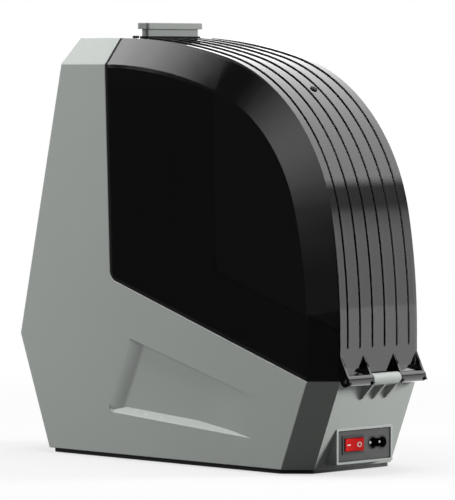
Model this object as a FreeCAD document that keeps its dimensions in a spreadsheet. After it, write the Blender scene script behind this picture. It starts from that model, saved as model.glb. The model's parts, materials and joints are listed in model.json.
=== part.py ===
import FreeCAD, Part
import math
import os
import re
import Sketcher

# Filament dryer box: a grey tub with a tall front column, a smoke-tinted lid that swings back on a
# rear hinge, four grooved rollers on two axles, and a heater with a fan under the chamber floor.
# Millimetres, +Z up, front at -Y, origin at the middle of the footprint on the table. Left and right
# are those of someone who faces the front, so right is +X.

doc = FreeCAD.newDocument("filament_dryer_box")
sheet = doc.addObject("Spreadsheet::Sheet", "dims")

DIMENSIONS = [
    # Housing outline, shared by base and lid
    ("half_width", 49.0, "half of the width over the flat sides"),
    ("chamfer_width", 14.1, "width of the long chamfer beside each flat side"),
    ("wall", 2.5, "wall of base and lid"),
    ("nose_y", -140.6, "foremost edge of the front"),
    ("nose_z", 76.7, "height of that edge"),
    ("front_slope", 0.2232, "lean of the upper front, run per rise"),
    ("chin_slope", 0.3734, "lean of the lower front, run per drop"),
    ("rear_y", 131.9, "rear face at the seam"),
    ("rear_slope", 0.396, "lean of the rear face below the seam"),
    ("rear_chamfer", 14.8, "depth of the long chamfer along the rear"),
    ("seam_z", 58.9, "height of the seam along the rear"),
    ("top_z", 268.9, "top of column and lid"),
    ("top_chamfer", 16.8, "depth of the long chamfer along the top"),
    ("plate_top", 3.4, "where the housing stands on its plate"),
    ("seam_top_y", -61.0, "seam on the top"),
    ("window_y", -55.8, "lower front corner of the window"),
    ("window_z", 115.5, "height of that corner"),
    ("window_radius", 7.0, "rounding of that corner"),
    ("seal_gap", 2.2, "space between base and lid for the seal"),
    ("seal_play", 0.2, "space left between seal and closed lid"),
    # Lid curve, three tangent arcs on the sides and three on the back
    ("side_top_radius", 311.2, "side outline, arc over the top"),
    ("side_corner_radius", 106.0, "side outline, arc round the shoulder"),
    ("side_rear_radius", 285.0, "side outline, arc down the rear"),
    ("side_rear_top", 87.0, "side outline, where the rear turns straight"),
    ("band_top_radius", 378.4, "back outline, arc over the top"),
    ("band_corner_radius", 124.4, "back outline, arc round the shoulder"),
    ("band_rear_radius", 382.0, "back outline, arc down the rear"),
    ("band_rear_top", 87.0, "back outline, where the rear turns straight"),
    # Grip recess in each side
    ("grip_depth", 3.5, "depth of the grip recess"),
    ("grip_front", -58.9, "lower front corner"),
    ("grip_front_z", 30.4, "height of that corner"),
    ("grip_top", -38.0, "upper front corner"),
    ("grip_top_z", 78.0, "height of that corner"),
    ("grip_rear", 70.0, "rear edge"),
    ("grip_rear_low", 21.1, "lower end of the rear edge"),
    ("grip_rear_high", 47.6, "upper end of the rear edge"),
    ("grip_ledge", 4.2, "rise of the sloping ledge along the bottom"),
    ("grip_run", 13.0, "run of the sloping front wall"),
    ("grip_fade", 20.0, "where the floor starts to rise to the rear edge"),
    ("grip_bend", 50.0, "where it rises faster"),
    ("grip_bend_depth", 1.9, "depth at that place"),
    ("grip_corner", 4.0, "rounding of the lower front corner"),
    # Lid ribs
    ("rib_count", 6, "ribs on the lid's back"),
    ("rib_height", 0.75, "height of a rib"),
    ("rib_width", 1.2, "thickness of a rib"),
    ("rib_pitch", 11.1, "spacing of the ribs"),
    ("rib_start", -40.0, "front end of the ribs"),
    ("rib_end_z", 78.8, "lower end of the ribs"),
    # Hinge
    ("hinge_y", 135.8, "hinge axis"),
    ("hinge_z", 59.2, "height of the hinge axis"),
    ("barrel_radius", 3.7, "lid barrels"),
    ("knuckle_radius", 3.7, "centre knuckle of the base"),
    ("knuckle_half", 12.3, "half length of the centre knuckle"),
    ("barrel_inner", 12.8, "inner end of a lid barrel"),
    ("barrel_outer", 35.0, "outer end of a lid barrel"),
    ("fin_width", 1.6, "hinge fins and gussets"),
    ("fin_apex_z", 74.0, "top of a hinge fin"),
    ("fin_foot_y", 140.6, "outermost corner of a hinge fin"),
    ("fin_foot_z", 57.0, "height of that corner"),
    ("gusset_z", 46.5, "foot of the gussets under the centre knuckle"),
    ("gusset_pitch", 11.0, "spacing of those gussets"),
    ("pin_radius", 1.5, "hinge pin"),
    ("pin_play", 0.05, "radial play of the pin"),
    ("pin_half", 34.0, "half length of the pin"),
    # Power panel
    ("panel_y", 120.1, "outer face of the power panel frame"),
    ("panel_half", 25.4, "half width of the frame"),
    ("panel_low", 6.1, "lower edge of the frame"),
    ("panel_high", 28.6, "upper edge of the frame"),
    ("panel_rim", 1.6, "rim of the frame"),
    ("panel_seat", 2.6, "depth of the seat for the plate"),
    ("panel_ledge", 1.7, "ledge that the plate lies on"),
    ("plate_play", 0.2, "play round inserted plates"),
    ("plate_gap", 0.5, "open joint round the panel plate"),
    ("panel_sheet", 2.0, "thickness of the panel plate"),
    ("socket_z", 18.0, "height of switch and inlet"),
    ("switch_x", 10.1, "middle of the switch"),
    ("switch_length", 18.6, "cut-out for the switch, across"),
    ("switch_height", 10.2, "cut-out for the switch, upright"),
    ("switch_rim", 0.9, "visible rim of the switch housing"),
    ("switch_depth", 14.0, "depth of the switch housing"),
    ("rocker_tilt", 8.0, "tilt of the rocker to either side"),
    ("inlet_x", -12.2, "middle of the inlet"),
    ("inlet_pitch", 8.6, "distance between the pins"),
    ("inlet_radius", 4.3, "lobes of the inlet"),
    ("inlet_depth", 17.0, "depth of the inlet body"),
    ("inlet_wall", 0.8, "wall round the inlet's recess"),
    ("inlet_floor", 4.0, "floor of the inlet's recess"),
    ("inlet_pin_radius", 1.15, "pins of the inlet"),
    # Base plate, feet and screws
    ("plate_low", 0.8, "underside of the base plate"),
    ("plate_inset", 1.5, "base plate inside the shell's outline"),
    ("foot_radius", 7.0, "rubber feet"),
    ("foot_thick", 1.8, "height of a foot"),
    ("foot_x", 33.0, "feet from the middle"),
    ("foot_front", -96.0, "front feet"),
    ("foot_rear", 72.0, "rear feet"),
    ("boss_radius", 4.2, "screw bosses in the base shell"),
    ("boss_x", 42.8, "bosses from the middle"),
    ("boss_front", -80.0, "front bosses"),
    ("boss_rear", 88.0, "rear bosses"),
    ("boss_gap", 0.1, "room left round a boss"),
    ("cup_room", 12.0, "room behind a side panel for the bottom of its grip"),
    ("cup_margin", 8.0, "that room beyond the grip's edges"),
    ("rear_split", 92.35, "front end of the rear panel"),
    ("pilot_radius", 1.3, "pilot hole of a boss"),
    ("pilot_depth", 12.0, "depth of that hole"),
    ("screw_radius", 1.25, "shank of a screw"),
    ("screw_head", 2.7, "radius of a screw head"),
    ("screw_head_thick", 1.6, "thickness of a screw head"),
    ("screw_length", 10.0, "length of a screw below its head"),
    # Chamber
    ("floor_low", 33.5, "underside of the chamber floor"),
    ("floor_thick", 2.5, "thickness of the chamber floor"),
    ("floor_half", 46.2, "half width of the floor"),
    ("floor_notch", 41.4, "half width of the floor between the grip recesses"),
    ("notch_front", -60.0, "front end of those notches"),
    ("notch_rear", 75.0, "rear end of those notches"),
    ("floor_rear", 117.4, "rear edge of the floor"),
    ("floor_corner", 14.0, "cut corners of the floor at the rear"),
    ("slot_width", 3.0, "air slots"),
    ("slot_length", 38.0, "length of an air slot"),
    ("slot_pitch", 6.5, "spacing of the air slots"),
    ("partition_y", -92.0, "rear face of the front partition"),
    ("partition_thick", 2.0, "thickness of the partition"),
    ("partition_play", 0.4, "play between partition and walls"),
    # Rollers
    ("chamber_y", 11.7, "middle of the chamber, between the axles"),
    ("axle_offset", 45.0, "axles before and behind that middle"),
    ("axle_z", 49.3, "height of the axles"),
    ("axle_radius", 2.5, "axles"),
    ("axle_half", 41.0, "half length of an axle"),
    ("axle_play", 0.05, "radial play on the axles"),
    ("cradle_inner", 37.0, "inner face of a roller cradle"),
    ("cradle_width", 4.0, "thickness of a cradle"),
    ("cradle_strip", 4.0, "height of the cradle's strip"),
    ("cradle_post", 7.0, "half width of a cradle's post"),
    ("cradle_top", 54.5, "top of the posts"),
    ("cradle_reach", 58.0, "half length of a cradle"),
    ("roller_x", 31.0, "rollers from the middle"),
    ("roller_half", 5.0, "half width of a roller"),
    ("roller_groove", 9.0, "radius in the groove of a roller"),
    ("roller_rim", 11.0, "radius of a roller's rims"),
    ("roller_lip", 1.2, "flat top of a roller's rim"),
    ("groove_half", 2.6, "half width of the groove's floor"),
    ("bearing_radius", 7.0, "outer radius of a ball bearing"),
    ("bearing_half", 2.5, "half width of a ball bearing"),
    ("shield_depth", 0.4, "recessed shields of a bearing"),
    # Heater and fan
    ("heater_y", -10.0, "middle of the heater"),
    ("heater_half", 28.0, "half width of the heater"),
    ("heater_reach", 25.0, "half length of the heater"),
    ("heater_high", 16.0, "height of the heater"),
    ("heater_base", 3.0, "solid part under its fins"),
    ("fin_gap", 3.0, "gap between heater fins"),
    ("fin_pitch", 5.0, "spacing of the heater fins"),
    ("fan_y", 45.0, "middle of the fan"),
    ("fan_half", 20.0, "half size of the fan frame"),
    ("fan_high", 10.0, "height of the fan frame"),
    ("fan_bore", 18.6, "radius of the fan's bore"),
    ("fan_hub", 8.5, "radius of the rotor's hub"),
    ("fan_tip", 17.8, "radius at the blade tips"),
    ("fan_strut", 2.0, "struts and foot disc of the fan"),
    ("fan_hole", 16.0, "fan screws from its middle"),
    # Boards
    ("board_thick", 1.6, "circuit boards"),
    ("power_half", 34.0, "half width of the power board"),
    ("power_front", 67.0, "front edge of the power board"),
    ("power_rear", 96.0, "rear edge of the power board"),
    ("power_low", 9.0, "underside of the power board"),
    ("power_post", 3.0, "radius of the board posts"),
    # Front panel, in the plane of the leaning front
    ("face_z", 196.0, "height of the display's middle"),
    ("lens_half", 31.0, "half width of the display lens"),
    ("lens_rise", 22.0, "half height of the display lens"),
    ("lens_thick", 1.0, "thickness of the lens"),
    ("lens_corner", 3.0, "corner radius of the lens"),
    ("lens_seat", 4.0, "rim that the lens is bonded to"),
    ("module_depth", 4.5, "display module"),
    ("button_drop", 40.0, "buttons below the display's middle"),
    ("button_pitch", 22.0, "spacing of the buttons"),
    ("button_radius", 4.8, "button caps"),
    ("button_play", 0.2, "play round a button"),
    ("button_proud", 1.4, "button caps stand out of the front"),
    ("button_flange", 6.2, "flange that keeps a button in"),
    ("board_offset", 9.5, "front of the control board behind the front"),
    ("board_drop", 10.0, "control board's middle below the display's"),
    ("board_half", 36.0, "half width of the control board"),
    ("board_rise", 42.0, "half height of the control board"),
    ("post_radius", 3.0, "posts for the control board"),
    ("post_x", 32.0, "posts from the middle"),
    ("post_rise", 38.0, "posts above and below the board's middle"),
    # Filament outlet, lid plug, handle and sensor
    ("outlet_y", -82.5, "filament outlet on the column"),
    ("outlet_radius", 2.25, "outer radius of the outlet tube"),
    ("outlet_bore", 1.2, "bore of the outlet tube"),
    ("outlet_proud", 1.8, "tube above the column"),
    ("outlet_length", 12.0, "length of the tube"),
    ("collar_radius", 3.6, "collar under the column's top"),
    ("plug_angle", 53.7, "place of the plug on the lid's shoulder"),
    ("plug_radius", 1.7, "stem of the lid plug"),
    ("plug_head", 2.4, "head of the lid plug"),
    ("plug_proud", 0.8, "height of its head"),
    ("handle_y", -50.8, "middle of the handle"),
    ("handle_half", 25.2, "half length of the handle's top"),
    ("handle_depth", 10.4, "depth of the handle's top"),
    ("handle_thick", 4.0, "thickness of the handle's top"),
    ("stem_half", 23.6, "half length of the handle's stem"),
    ("stem_depth", 5.8, "depth of the stem"),
    ("stem_high", 4.6, "height of the stem"),
    ("stem_corner", 2.0, "corner radius of handle and stem"),
    ("gasket_thick", 1.2, "gasket under the handle"),
    ("gasket_rim", 1.0, "gasket beyond the stem"),
    ("handle_screw_x", 15.0, "handle screws from the middle"),
    ("sensor_z", 215.0, "height of the humidity sensor"),
    ("sensor_x", 30.0, "humidity sensor from the middle"),
]

for row, (alias, number, meaning) in enumerate(DIMENSIONS, start=1):
    sheet.set(f"A{row}", meaning)
    sheet.set(f"B{row}", str(number))
    sheet.setAlias(f"B{row}", alias)
doc.recompute()

ALIASES = {alias for alias, _, _ in DIMENSIONS}
SIDE_PLANE = "create(<<rotation>>; create(<<vector>>; 1; 1; 1); 120)"
SIDES = (("left", -1), ("right", 1))
subparts = {}


# Formulas and placement

def formula(text):
    """An expression on the sheet's cells, from a formula in their plain aliases."""
    return re.sub(r"[a-z_]+", lambda word: f"dims.{word[0]}" if word[0] in ALIASES else word[0], str(text))


def value(text):
    return float(sheet.evalExpression(formula(text)))


def bind(item, **sizes):
    for name, text in sizes.items():
        item.setExpression(name, formula(text))
    return item


def put(item, x="0", y="0", z="0", turn="create(<<rotation>>; create(<<vector>>; 0; 0; 1); 0)"):
    """Place an object by formulas for its position and a formula for its rotation."""
    place = f"create(<<vector>>; {formula(x)}; {formula(y)}; {formula(z)})"
    item.setExpression("Placement", f"create(<<placement>>; {place}; {formula(turn)})")
    return item


def turn_about(axis, degrees):
    return f"create(<<rotation>>; create(<<vector>>; {axis}); {degrees})"


FRONT_TILT = "atan(front_slope)"
FRONT_TURN = turn_about("1; 0; 0", f"90 deg - {FRONT_TILT}")


def put_on_front(item, across="0", up="0", out="0"):
    """Place an object in the leaning front plane: across, up the slope and out of it."""
    face_y = "nose_y + front_slope * (face_z - nose_z)"
    y = f"{face_y} + ({up}) * sin({FRONT_TILT}) - ({out}) * cos({FRONT_TILT})"
    z = f"face_z + ({up}) * cos({FRONT_TILT}) + ({out}) * sin({FRONT_TILT})"
    return put(item, across, y, z, FRONT_TURN)


# Solids and booleans

def box(name, length, width, height):
    return bind(doc.addObject("Part::Box", name), Length=length, Width=width, Height=height)


def cylinder(name, radius, height):
    return bind(doc.addObject("Part::Cylinder", name), Radius=radius, Height=height)


def rod(name, radius, start, length, y, z):
    """A cylinder along X from start."""
    return put(cylinder(name, radius, length), start, y, z, turn_about("0; 1; 0", 90))


def cut(name, base, tool):
    item = doc.addObject("Part::Cut", name)
    item.Base = base
    item.Tool = tool
    item.Refine = True
    return item


def fuse(name, items):
    item = doc.addObject("Part::MultiFuse", name)
    item.Shapes = items
    item.Refine = True
    return item


def common(name, items):
    item = doc.addObject("Part::MultiCommon", name)
    item.Shapes = items
    item.Refine = True
    return item


def group(name, items):
    item = doc.addObject("Part::Compound", name)
    item.Links = items
    return item


def extrude(name, profile, length):
    item = doc.addObject("Part::Extrusion", name)
    item.Base = profile
    item.DirMode = "Normal"
    item.Solid = True
    return bind(item, LengthFwd=length)


def loft(name, sections):
    item = doc.addObject("Part::Loft", name)
    item.Sections = sections
    item.Solid = True
    item.Ruled = True
    return item


def offset(name, profile, distance):
    item = doc.addObject("Part::Offset2D", name)
    item.Source = profile
    item.Join = "Intersection"
    return bind(item, Value=distance)


# Sketches

def fix_point(sketch, geometry, end, u, v):
    """Hold a point of a sketch at formulas for its two coordinates."""
    for kind, text in (("DistanceX", u), ("DistanceY", v)):
        index = sketch.addConstraint(Sketcher.Constraint(kind, -1, 1, geometry, end, value(text)))
        sketch.setExpression(f"Constraints[{index}]", formula(text))


def fix_radius(sketch, geometry, radius):
    index = sketch.addConstraint(Sketcher.Constraint("Radius", geometry, value(radius)))
    sketch.setExpression(f"Constraints[{index}]", formula(radius))


def add_circle(sketch, u, v, radius):
    centre = FreeCAD.Vector(value(u), value(v), 0)
    ring = sketch.addGeometry(Part.Circle(centre, FreeCAD.Vector(0, 0, 1), value(radius)))
    fix_point(sketch, ring, 3, u, v)
    fix_radius(sketch, ring, radius)


def add_outline(sketch, corners):
    """A closed outline of straight runs. A corner is (u, v), or (u, v, radius) where it is rounded."""
    count = len(corners)
    spots = [FreeCAD.Vector(value(corner[0]), value(corner[1]), 0) for corner in corners]
    entries, exits, arcs = [], [], {}
    for index, corner in enumerate(corners):
        back = (spots[index - 1] - spots[index]).normalize()
        ahead = (spots[(index + 1) % count] - spots[index]).normalize()
        if len(corner) == 2:
            entries.append(spots[index])
            exits.append(spots[index])
            continue
        radius = value(corner[2])
        half = back.getAngle(ahead) / 2
        reach = radius / math.tan(half)
        entries.append(spots[index] + back * reach)
        exits.append(spots[index] + ahead * reach)
        inward = (back + ahead).normalize()
        centre = spots[index] + inward * (radius / math.sin(half))
        arcs[index] = (centre, radius, back.cross(ahead).z < 0)
    lines = []
    for index in range(count):
        run = Part.LineSegment(exits[index], entries[(index + 1) % count])
        lines.append(sketch.addGeometry(run))
    for index, corner in enumerate(corners):
        before, after = lines[index - 1], lines[index]
        if index not in arcs:
            sketch.addConstraint(Sketcher.Constraint("Coincident", before, 2, after, 1))
            fix_point(sketch, after, 1, corner[0], corner[1])
            continue
        centre, radius, turns_left = arcs[index]
        first, last = (entries[index], exits[index]) if turns_left else (exits[index], entries[index])
        angles = [math.atan2(spot.y - centre.y, spot.x - centre.x) for spot in (first, last)]
        ring = Part.Circle(centre, FreeCAD.Vector(0, 0, 1), radius)
        bend = sketch.addGeometry(Part.ArcOfCircle(ring, angles[0], angles[1]))
        entry_end, exit_end = (1, 2) if turns_left else (2, 1)
        tip = sketch.addGeometry(Part.Point(spots[index]), True)
        fix_point(sketch, tip, 1, corner[0], corner[1])
        sketch.addConstraint(Sketcher.Constraint("PointOnObject", tip, 1, before))
        sketch.addConstraint(Sketcher.Constraint("PointOnObject", tip, 1, after))
        sketch.addConstraint(Sketcher.Constraint("Tangent", before, 2, bend, entry_end))
        sketch.addConstraint(Sketcher.Constraint("Tangent", bend, exit_end, after, 1))
        fix_radius(sketch, bend, corner[2])


def rectangle(left, low, right, high, radius=None):
    spots = [(left, low), (right, low), (right, high), (left, high)]
    return spots if radius is None else [(u, v, radius) for u, v in spots]


def side_sketch(name, x, corners):
    """A free sketch in a plane of constant X, with u along Y and v along Z."""
    sketch = doc.addObject("Sketcher::SketchObject", name)
    add_outline(sketch, corners)
    return put(sketch, x, turn=SIDE_PLANE)


def prism(name, start, length, corners):
    """A side outline extruded along X."""
    return extrude(name, side_sketch(f"{name}_outline", start, corners), length)


# Bodies

def new_body(name):
    return doc.addObject("PartDesign::Body", name)


def body_sketch(body, name, plane, level="0"):
    sketch = body.newObject("Sketcher::SketchObject", name)
    support = [item for item in body.Origin.OriginFeatures if item.Role == plane][0]
    sketch.AttachmentSupport = (support, [""])
    sketch.MapMode = "FlatFace"
    sketch.setExpression("AttachmentOffset.Base.z", formula(level))
    return sketch


def pad(body, name, plane, level, length, outlines=(), circles=()):
    """Add a prism on a plane of the body, from a level along that plane's normal."""
    feature = body.newObject("PartDesign::Pad", name)
    feature.Profile = profile(body, f"{name}_sketch", plane, level, outlines, circles)
    return bind(feature, Length=length)


def profile(body, name, plane, level, outlines, circles):
    sketch = body_sketch(body, name, plane, level)
    for corners in outlines:
        add_outline(sketch, corners)
    for u, v, radius in circles:
        add_circle(sketch, u, v, radius)
    return sketch


def pocket(body, name, plane, level, length, outlines=(), circles=()):
    """Cut a prism into the body along the plane's normal, turned round where that cuts nothing."""
    doc.recompute()
    before = body.Shape.Volume
    feature = body.newObject("PartDesign::Pocket", name)
    feature.Profile = profile(body, f"{name}_sketch", plane, level, outlines, circles)
    bind(feature, Length=length)
    feature.Reversed = True
    doc.recompute()
    if body.Shape.Volume > before - 0.01:
        raise ValueError(f"{name} cuts nothing")
    return feature


def revolve(body, name, plane, corners, axis):
    feature = body.newObject("PartDesign::Revolution", name)
    feature.Profile = profile(body, f"{name}_sketch", plane, "0", [corners], [])
    feature.ReferenceAxis = (feature.Profile[0], [axis])
    feature.Angle = 360
    return feature


def repeat(body, name, feature, axis, count, length):
    """Repeat a feature along an axis of its sketch, over a whole length."""
    pattern = body.newObject("PartDesign::LinearPattern", name)
    pattern.Originals = [feature]
    pattern.Direction = (feature.Profile[0], [axis])
    pattern.Occurrences = count
    bind(pattern, Length=length)
    body.Tip = pattern
    return pattern


def polar(body, name, feature, count):
    pattern = body.newObject("PartDesign::PolarPattern", name)
    pattern.Originals = [feature]
    pattern.Axis = (feature.Profile[0], ["N_Axis"])
    pattern.Angle = 360
    pattern.Occurrences = count
    body.Tip = pattern
    return pattern


def soften(body, name, feature, chosen, radius):
    """Round the edges of a feature that a test picks."""
    doc.recompute()
    edges = [f"Edge{number}" for number, edge in enumerate(feature.Shape.Edges, start=1) if chosen(edge)]
    rounding = body.newObject("PartDesign::Fillet", name)
    rounding.Base = (feature, edges)
    return bind(rounding, Radius=radius)


def node(name, item):
    """Keep an object as the sub-part of that name."""
    item.Label = name
    subparts[name] = item
    return item


# Housing outline: flat sides, long chamfers and the band over front, top and rear

def housing_outline(name, x, inset_top, inset_rear, lid_curve):
    """One section of the whole housing, closed lid included, at a place across the width."""
    low = "plate_top - wall"
    rear = f"rear_y - {inset_rear}"
    high = f"top_z - {inset_top}"
    seam = f"window_y + (seam_top_y - window_y) * ({high} - window_z) / (top_z - window_z)"
    front_high = f"nose_y + front_slope * ({high} - nose_z)"
    rear_low = f"{rear} - rear_slope * (seam_z - plate_top + wall)"
    front_low = "nose_y + chin_slope * (nose_z - plate_top + wall)"
    rear_turn = f"{lid_curve}_rear_top"
    radii = [f"{lid_curve}_{part}_radius" for part in ("rear", "corner", "top")]

    sketch = doc.addObject("Sketcher::SketchObject", name)
    below = [(front_low, low), (rear_low, low), (rear, "seam_z"), (rear, rear_turn)]
    above = [(seam, high), (front_high, high), ("nose_y", "nose_z"), (front_low, low)]
    for corners in (below, above):
        spots = [FreeCAD.Vector(value(u), value(v), 0) for u, v in corners]
        for first, last in zip(spots, spots[1:]):
            sketch.addGeometry(Part.LineSegment(first, last))

    # The arcs start near their final turns, and the tangents settle them.
    turns = [math.radians(angle) for angle in (0, 12, 72, 90)]
    sizes = [value(radius) for radius in radii]
    centre = FreeCAD.Vector(value(rear) - sizes[0], value(rear_turn), 0)
    for index, size in enumerate(sizes):
        ring = Part.Circle(centre, FreeCAD.Vector(0, 0, 1), size)
        sketch.addGeometry(Part.ArcOfCircle(ring, turns[index], turns[index + 1]))
        if index < 2:
            shift = size - sizes[index + 1]
            angle = turns[index + 1]
            centre = centre + FreeCAD.Vector(math.cos(angle), math.sin(angle), 0) * shift

    for before, after in ((0, 1), (1, 2), (3, 4), (4, 5), (5, 0)):
        sketch.addConstraint(Sketcher.Constraint("Coincident", before, 2, after, 1))
    for before, after in ((2, 6), (6, 7), (7, 8), (8, 3)):
        sketch.addConstraint(Sketcher.Constraint("Tangent", before, 2, after, 1))
    for line, (u, v) in zip((0, 1, 2), below):
        fix_point(sketch, line, 1, u, v)
    fix_point(sketch, 2, 2, rear, rear_turn)
    for line, (u, v) in zip((3, 4, 5), above):
        fix_point(sketch, line, 1, u, v)
    for arc, radius in zip((6, 7, 8), radii):
        fix_radius(sketch, arc, radius)
    return put(sketch, x, turn=SIDE_PLANE)


def housing_sections(name, side_x, band_x):
    """The four sections of a housing body, from one flat side to the other."""
    return [
        housing_outline(f"{name}_side_left", f"-({side_x})", "top_chamfer", "rear_chamfer", "side"),
        housing_outline(f"{name}_band_left", f"-({band_x})", "0", "0", "band"),
        housing_outline(f"{name}_band_right", band_x, "0", "0", "band"),
        housing_outline(f"{name}_side_right", side_x, "top_chamfer", "rear_chamfer", "side"),
    ]


band_half = "half_width - chamfer_width"
outer_sections = housing_sections("outer", "half_width", band_half)
housing = loft("housing", outer_sections)
inner_sections = housing_sections("inner", "half_width - wall", f"{band_half} - wall * tan(22.5)")
cavity = loft("cavity", [offset(f"{item.Name}_wall", item, "-wall") for item in inner_sections])
shell = cut("housing_shell", housing, cavity)

# The seam parts the housing: everything in front of and below this outline is base.
WIDE = "half_width + 20"
seam_corners = [
    ("nose_y - 20", "plate_top - 20"),
    ("rear_y + 30", "plate_top - 20"),
    ("rear_y + 30", "seam_z"),
    ("rear_y - rear_chamfer", "seam_z"),
    ("window_y", "window_z", "window_radius"),
    ("seam_top_y + (seam_top_y - window_y) * 0.2", "top_z + (top_z - window_z) * 0.2"),
    ("nose_y - 20", "top_z + (top_z - window_z) * 0.2"),
]
seam_sketch = side_sketch("seam_outline", f"-({WIDE})", seam_corners)
base_side = extrude("base_side", seam_sketch, f"2 * ({WIDE})")
seal_side = extrude("seal_side", offset("seal_outline", seam_sketch, "seal_gap - seal_play"), f"2 * ({WIDE})")
not_lid = extrude("not_lid", offset("lid_outline", seam_sketch, "seal_gap"), f"2 * ({WIDE})")


# Base shell

def rear_face(z):
    return f"rear_y - rear_slope * (seam_z - ({z}))"


GRIP_LEAN = "(grip_top - grip_front) / (grip_top_z - grip_front_z)"


def grip_outlines(name, side, sign, deep):
    """Outline of a grip recess at the side, and at a depth where a ledge has risen from its bottom."""
    fall = "(grip_rear_low - grip_front_z) / (grip_rear - grip_front)"
    ledge_y = f"grip_front + {GRIP_LEAN} * grip_ledge"
    ledge_z = "grip_front_z + grip_ledge"
    upper = [("grip_rear", "grip_rear_high"), ("grip_top", "grip_top_z", "2")]
    outer = [("grip_front", "grip_front_z", "grip_corner"), ("grip_rear", "grip_rear_low")]
    inner = [
        (ledge_y, ledge_z, "grip_corner"),
        ("grip_rear", f"{ledge_z} + {fall} * (grip_rear - ({ledge_y}))"),
    ]
    return [
        side_sketch(f"{name}_outer_{side}", f"{sign} * half_width", outer + upper),
        side_sketch(f"{name}_inner_{side}", f"{sign} * (half_width - ({deep}))", inner + upper),
    ]


def grip_floor(name, side, sign, behind):
    """The room in front of a grip's floor: a sloping front wall, a flat, and a slow rise to the rear."""
    sections = []
    for end, level in (("low", "grip_rear_low - cup_margin"), ("high", "grip_top_z + cup_margin")):
        front = f"grip_front + {GRIP_LEAN} * ({level} - grip_front_z)"
        run = [
            ("half_width + 1", front),
            (f"half_width - ({behind})", front),
            (f"half_width - ({behind}) - grip_depth", f"{front} + grip_run"),
            (f"half_width - ({behind}) - grip_depth", "grip_fade"),
            (f"half_width - ({behind}) - grip_bend_depth", "grip_bend"),
            (f"half_width - ({behind})", "grip_rear"),
            ("half_width + 1", "grip_rear"),
        ]
        sketch = doc.addObject("Sketcher::SketchObject", f"{name}_{end}_{side}")
        add_outline(sketch, [(f"{sign} * ({x})", y) for x, y in run])
        sections.append(put(sketch, "0", "0", level))
    return loft(f"{name}_{side}", sections)


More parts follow.
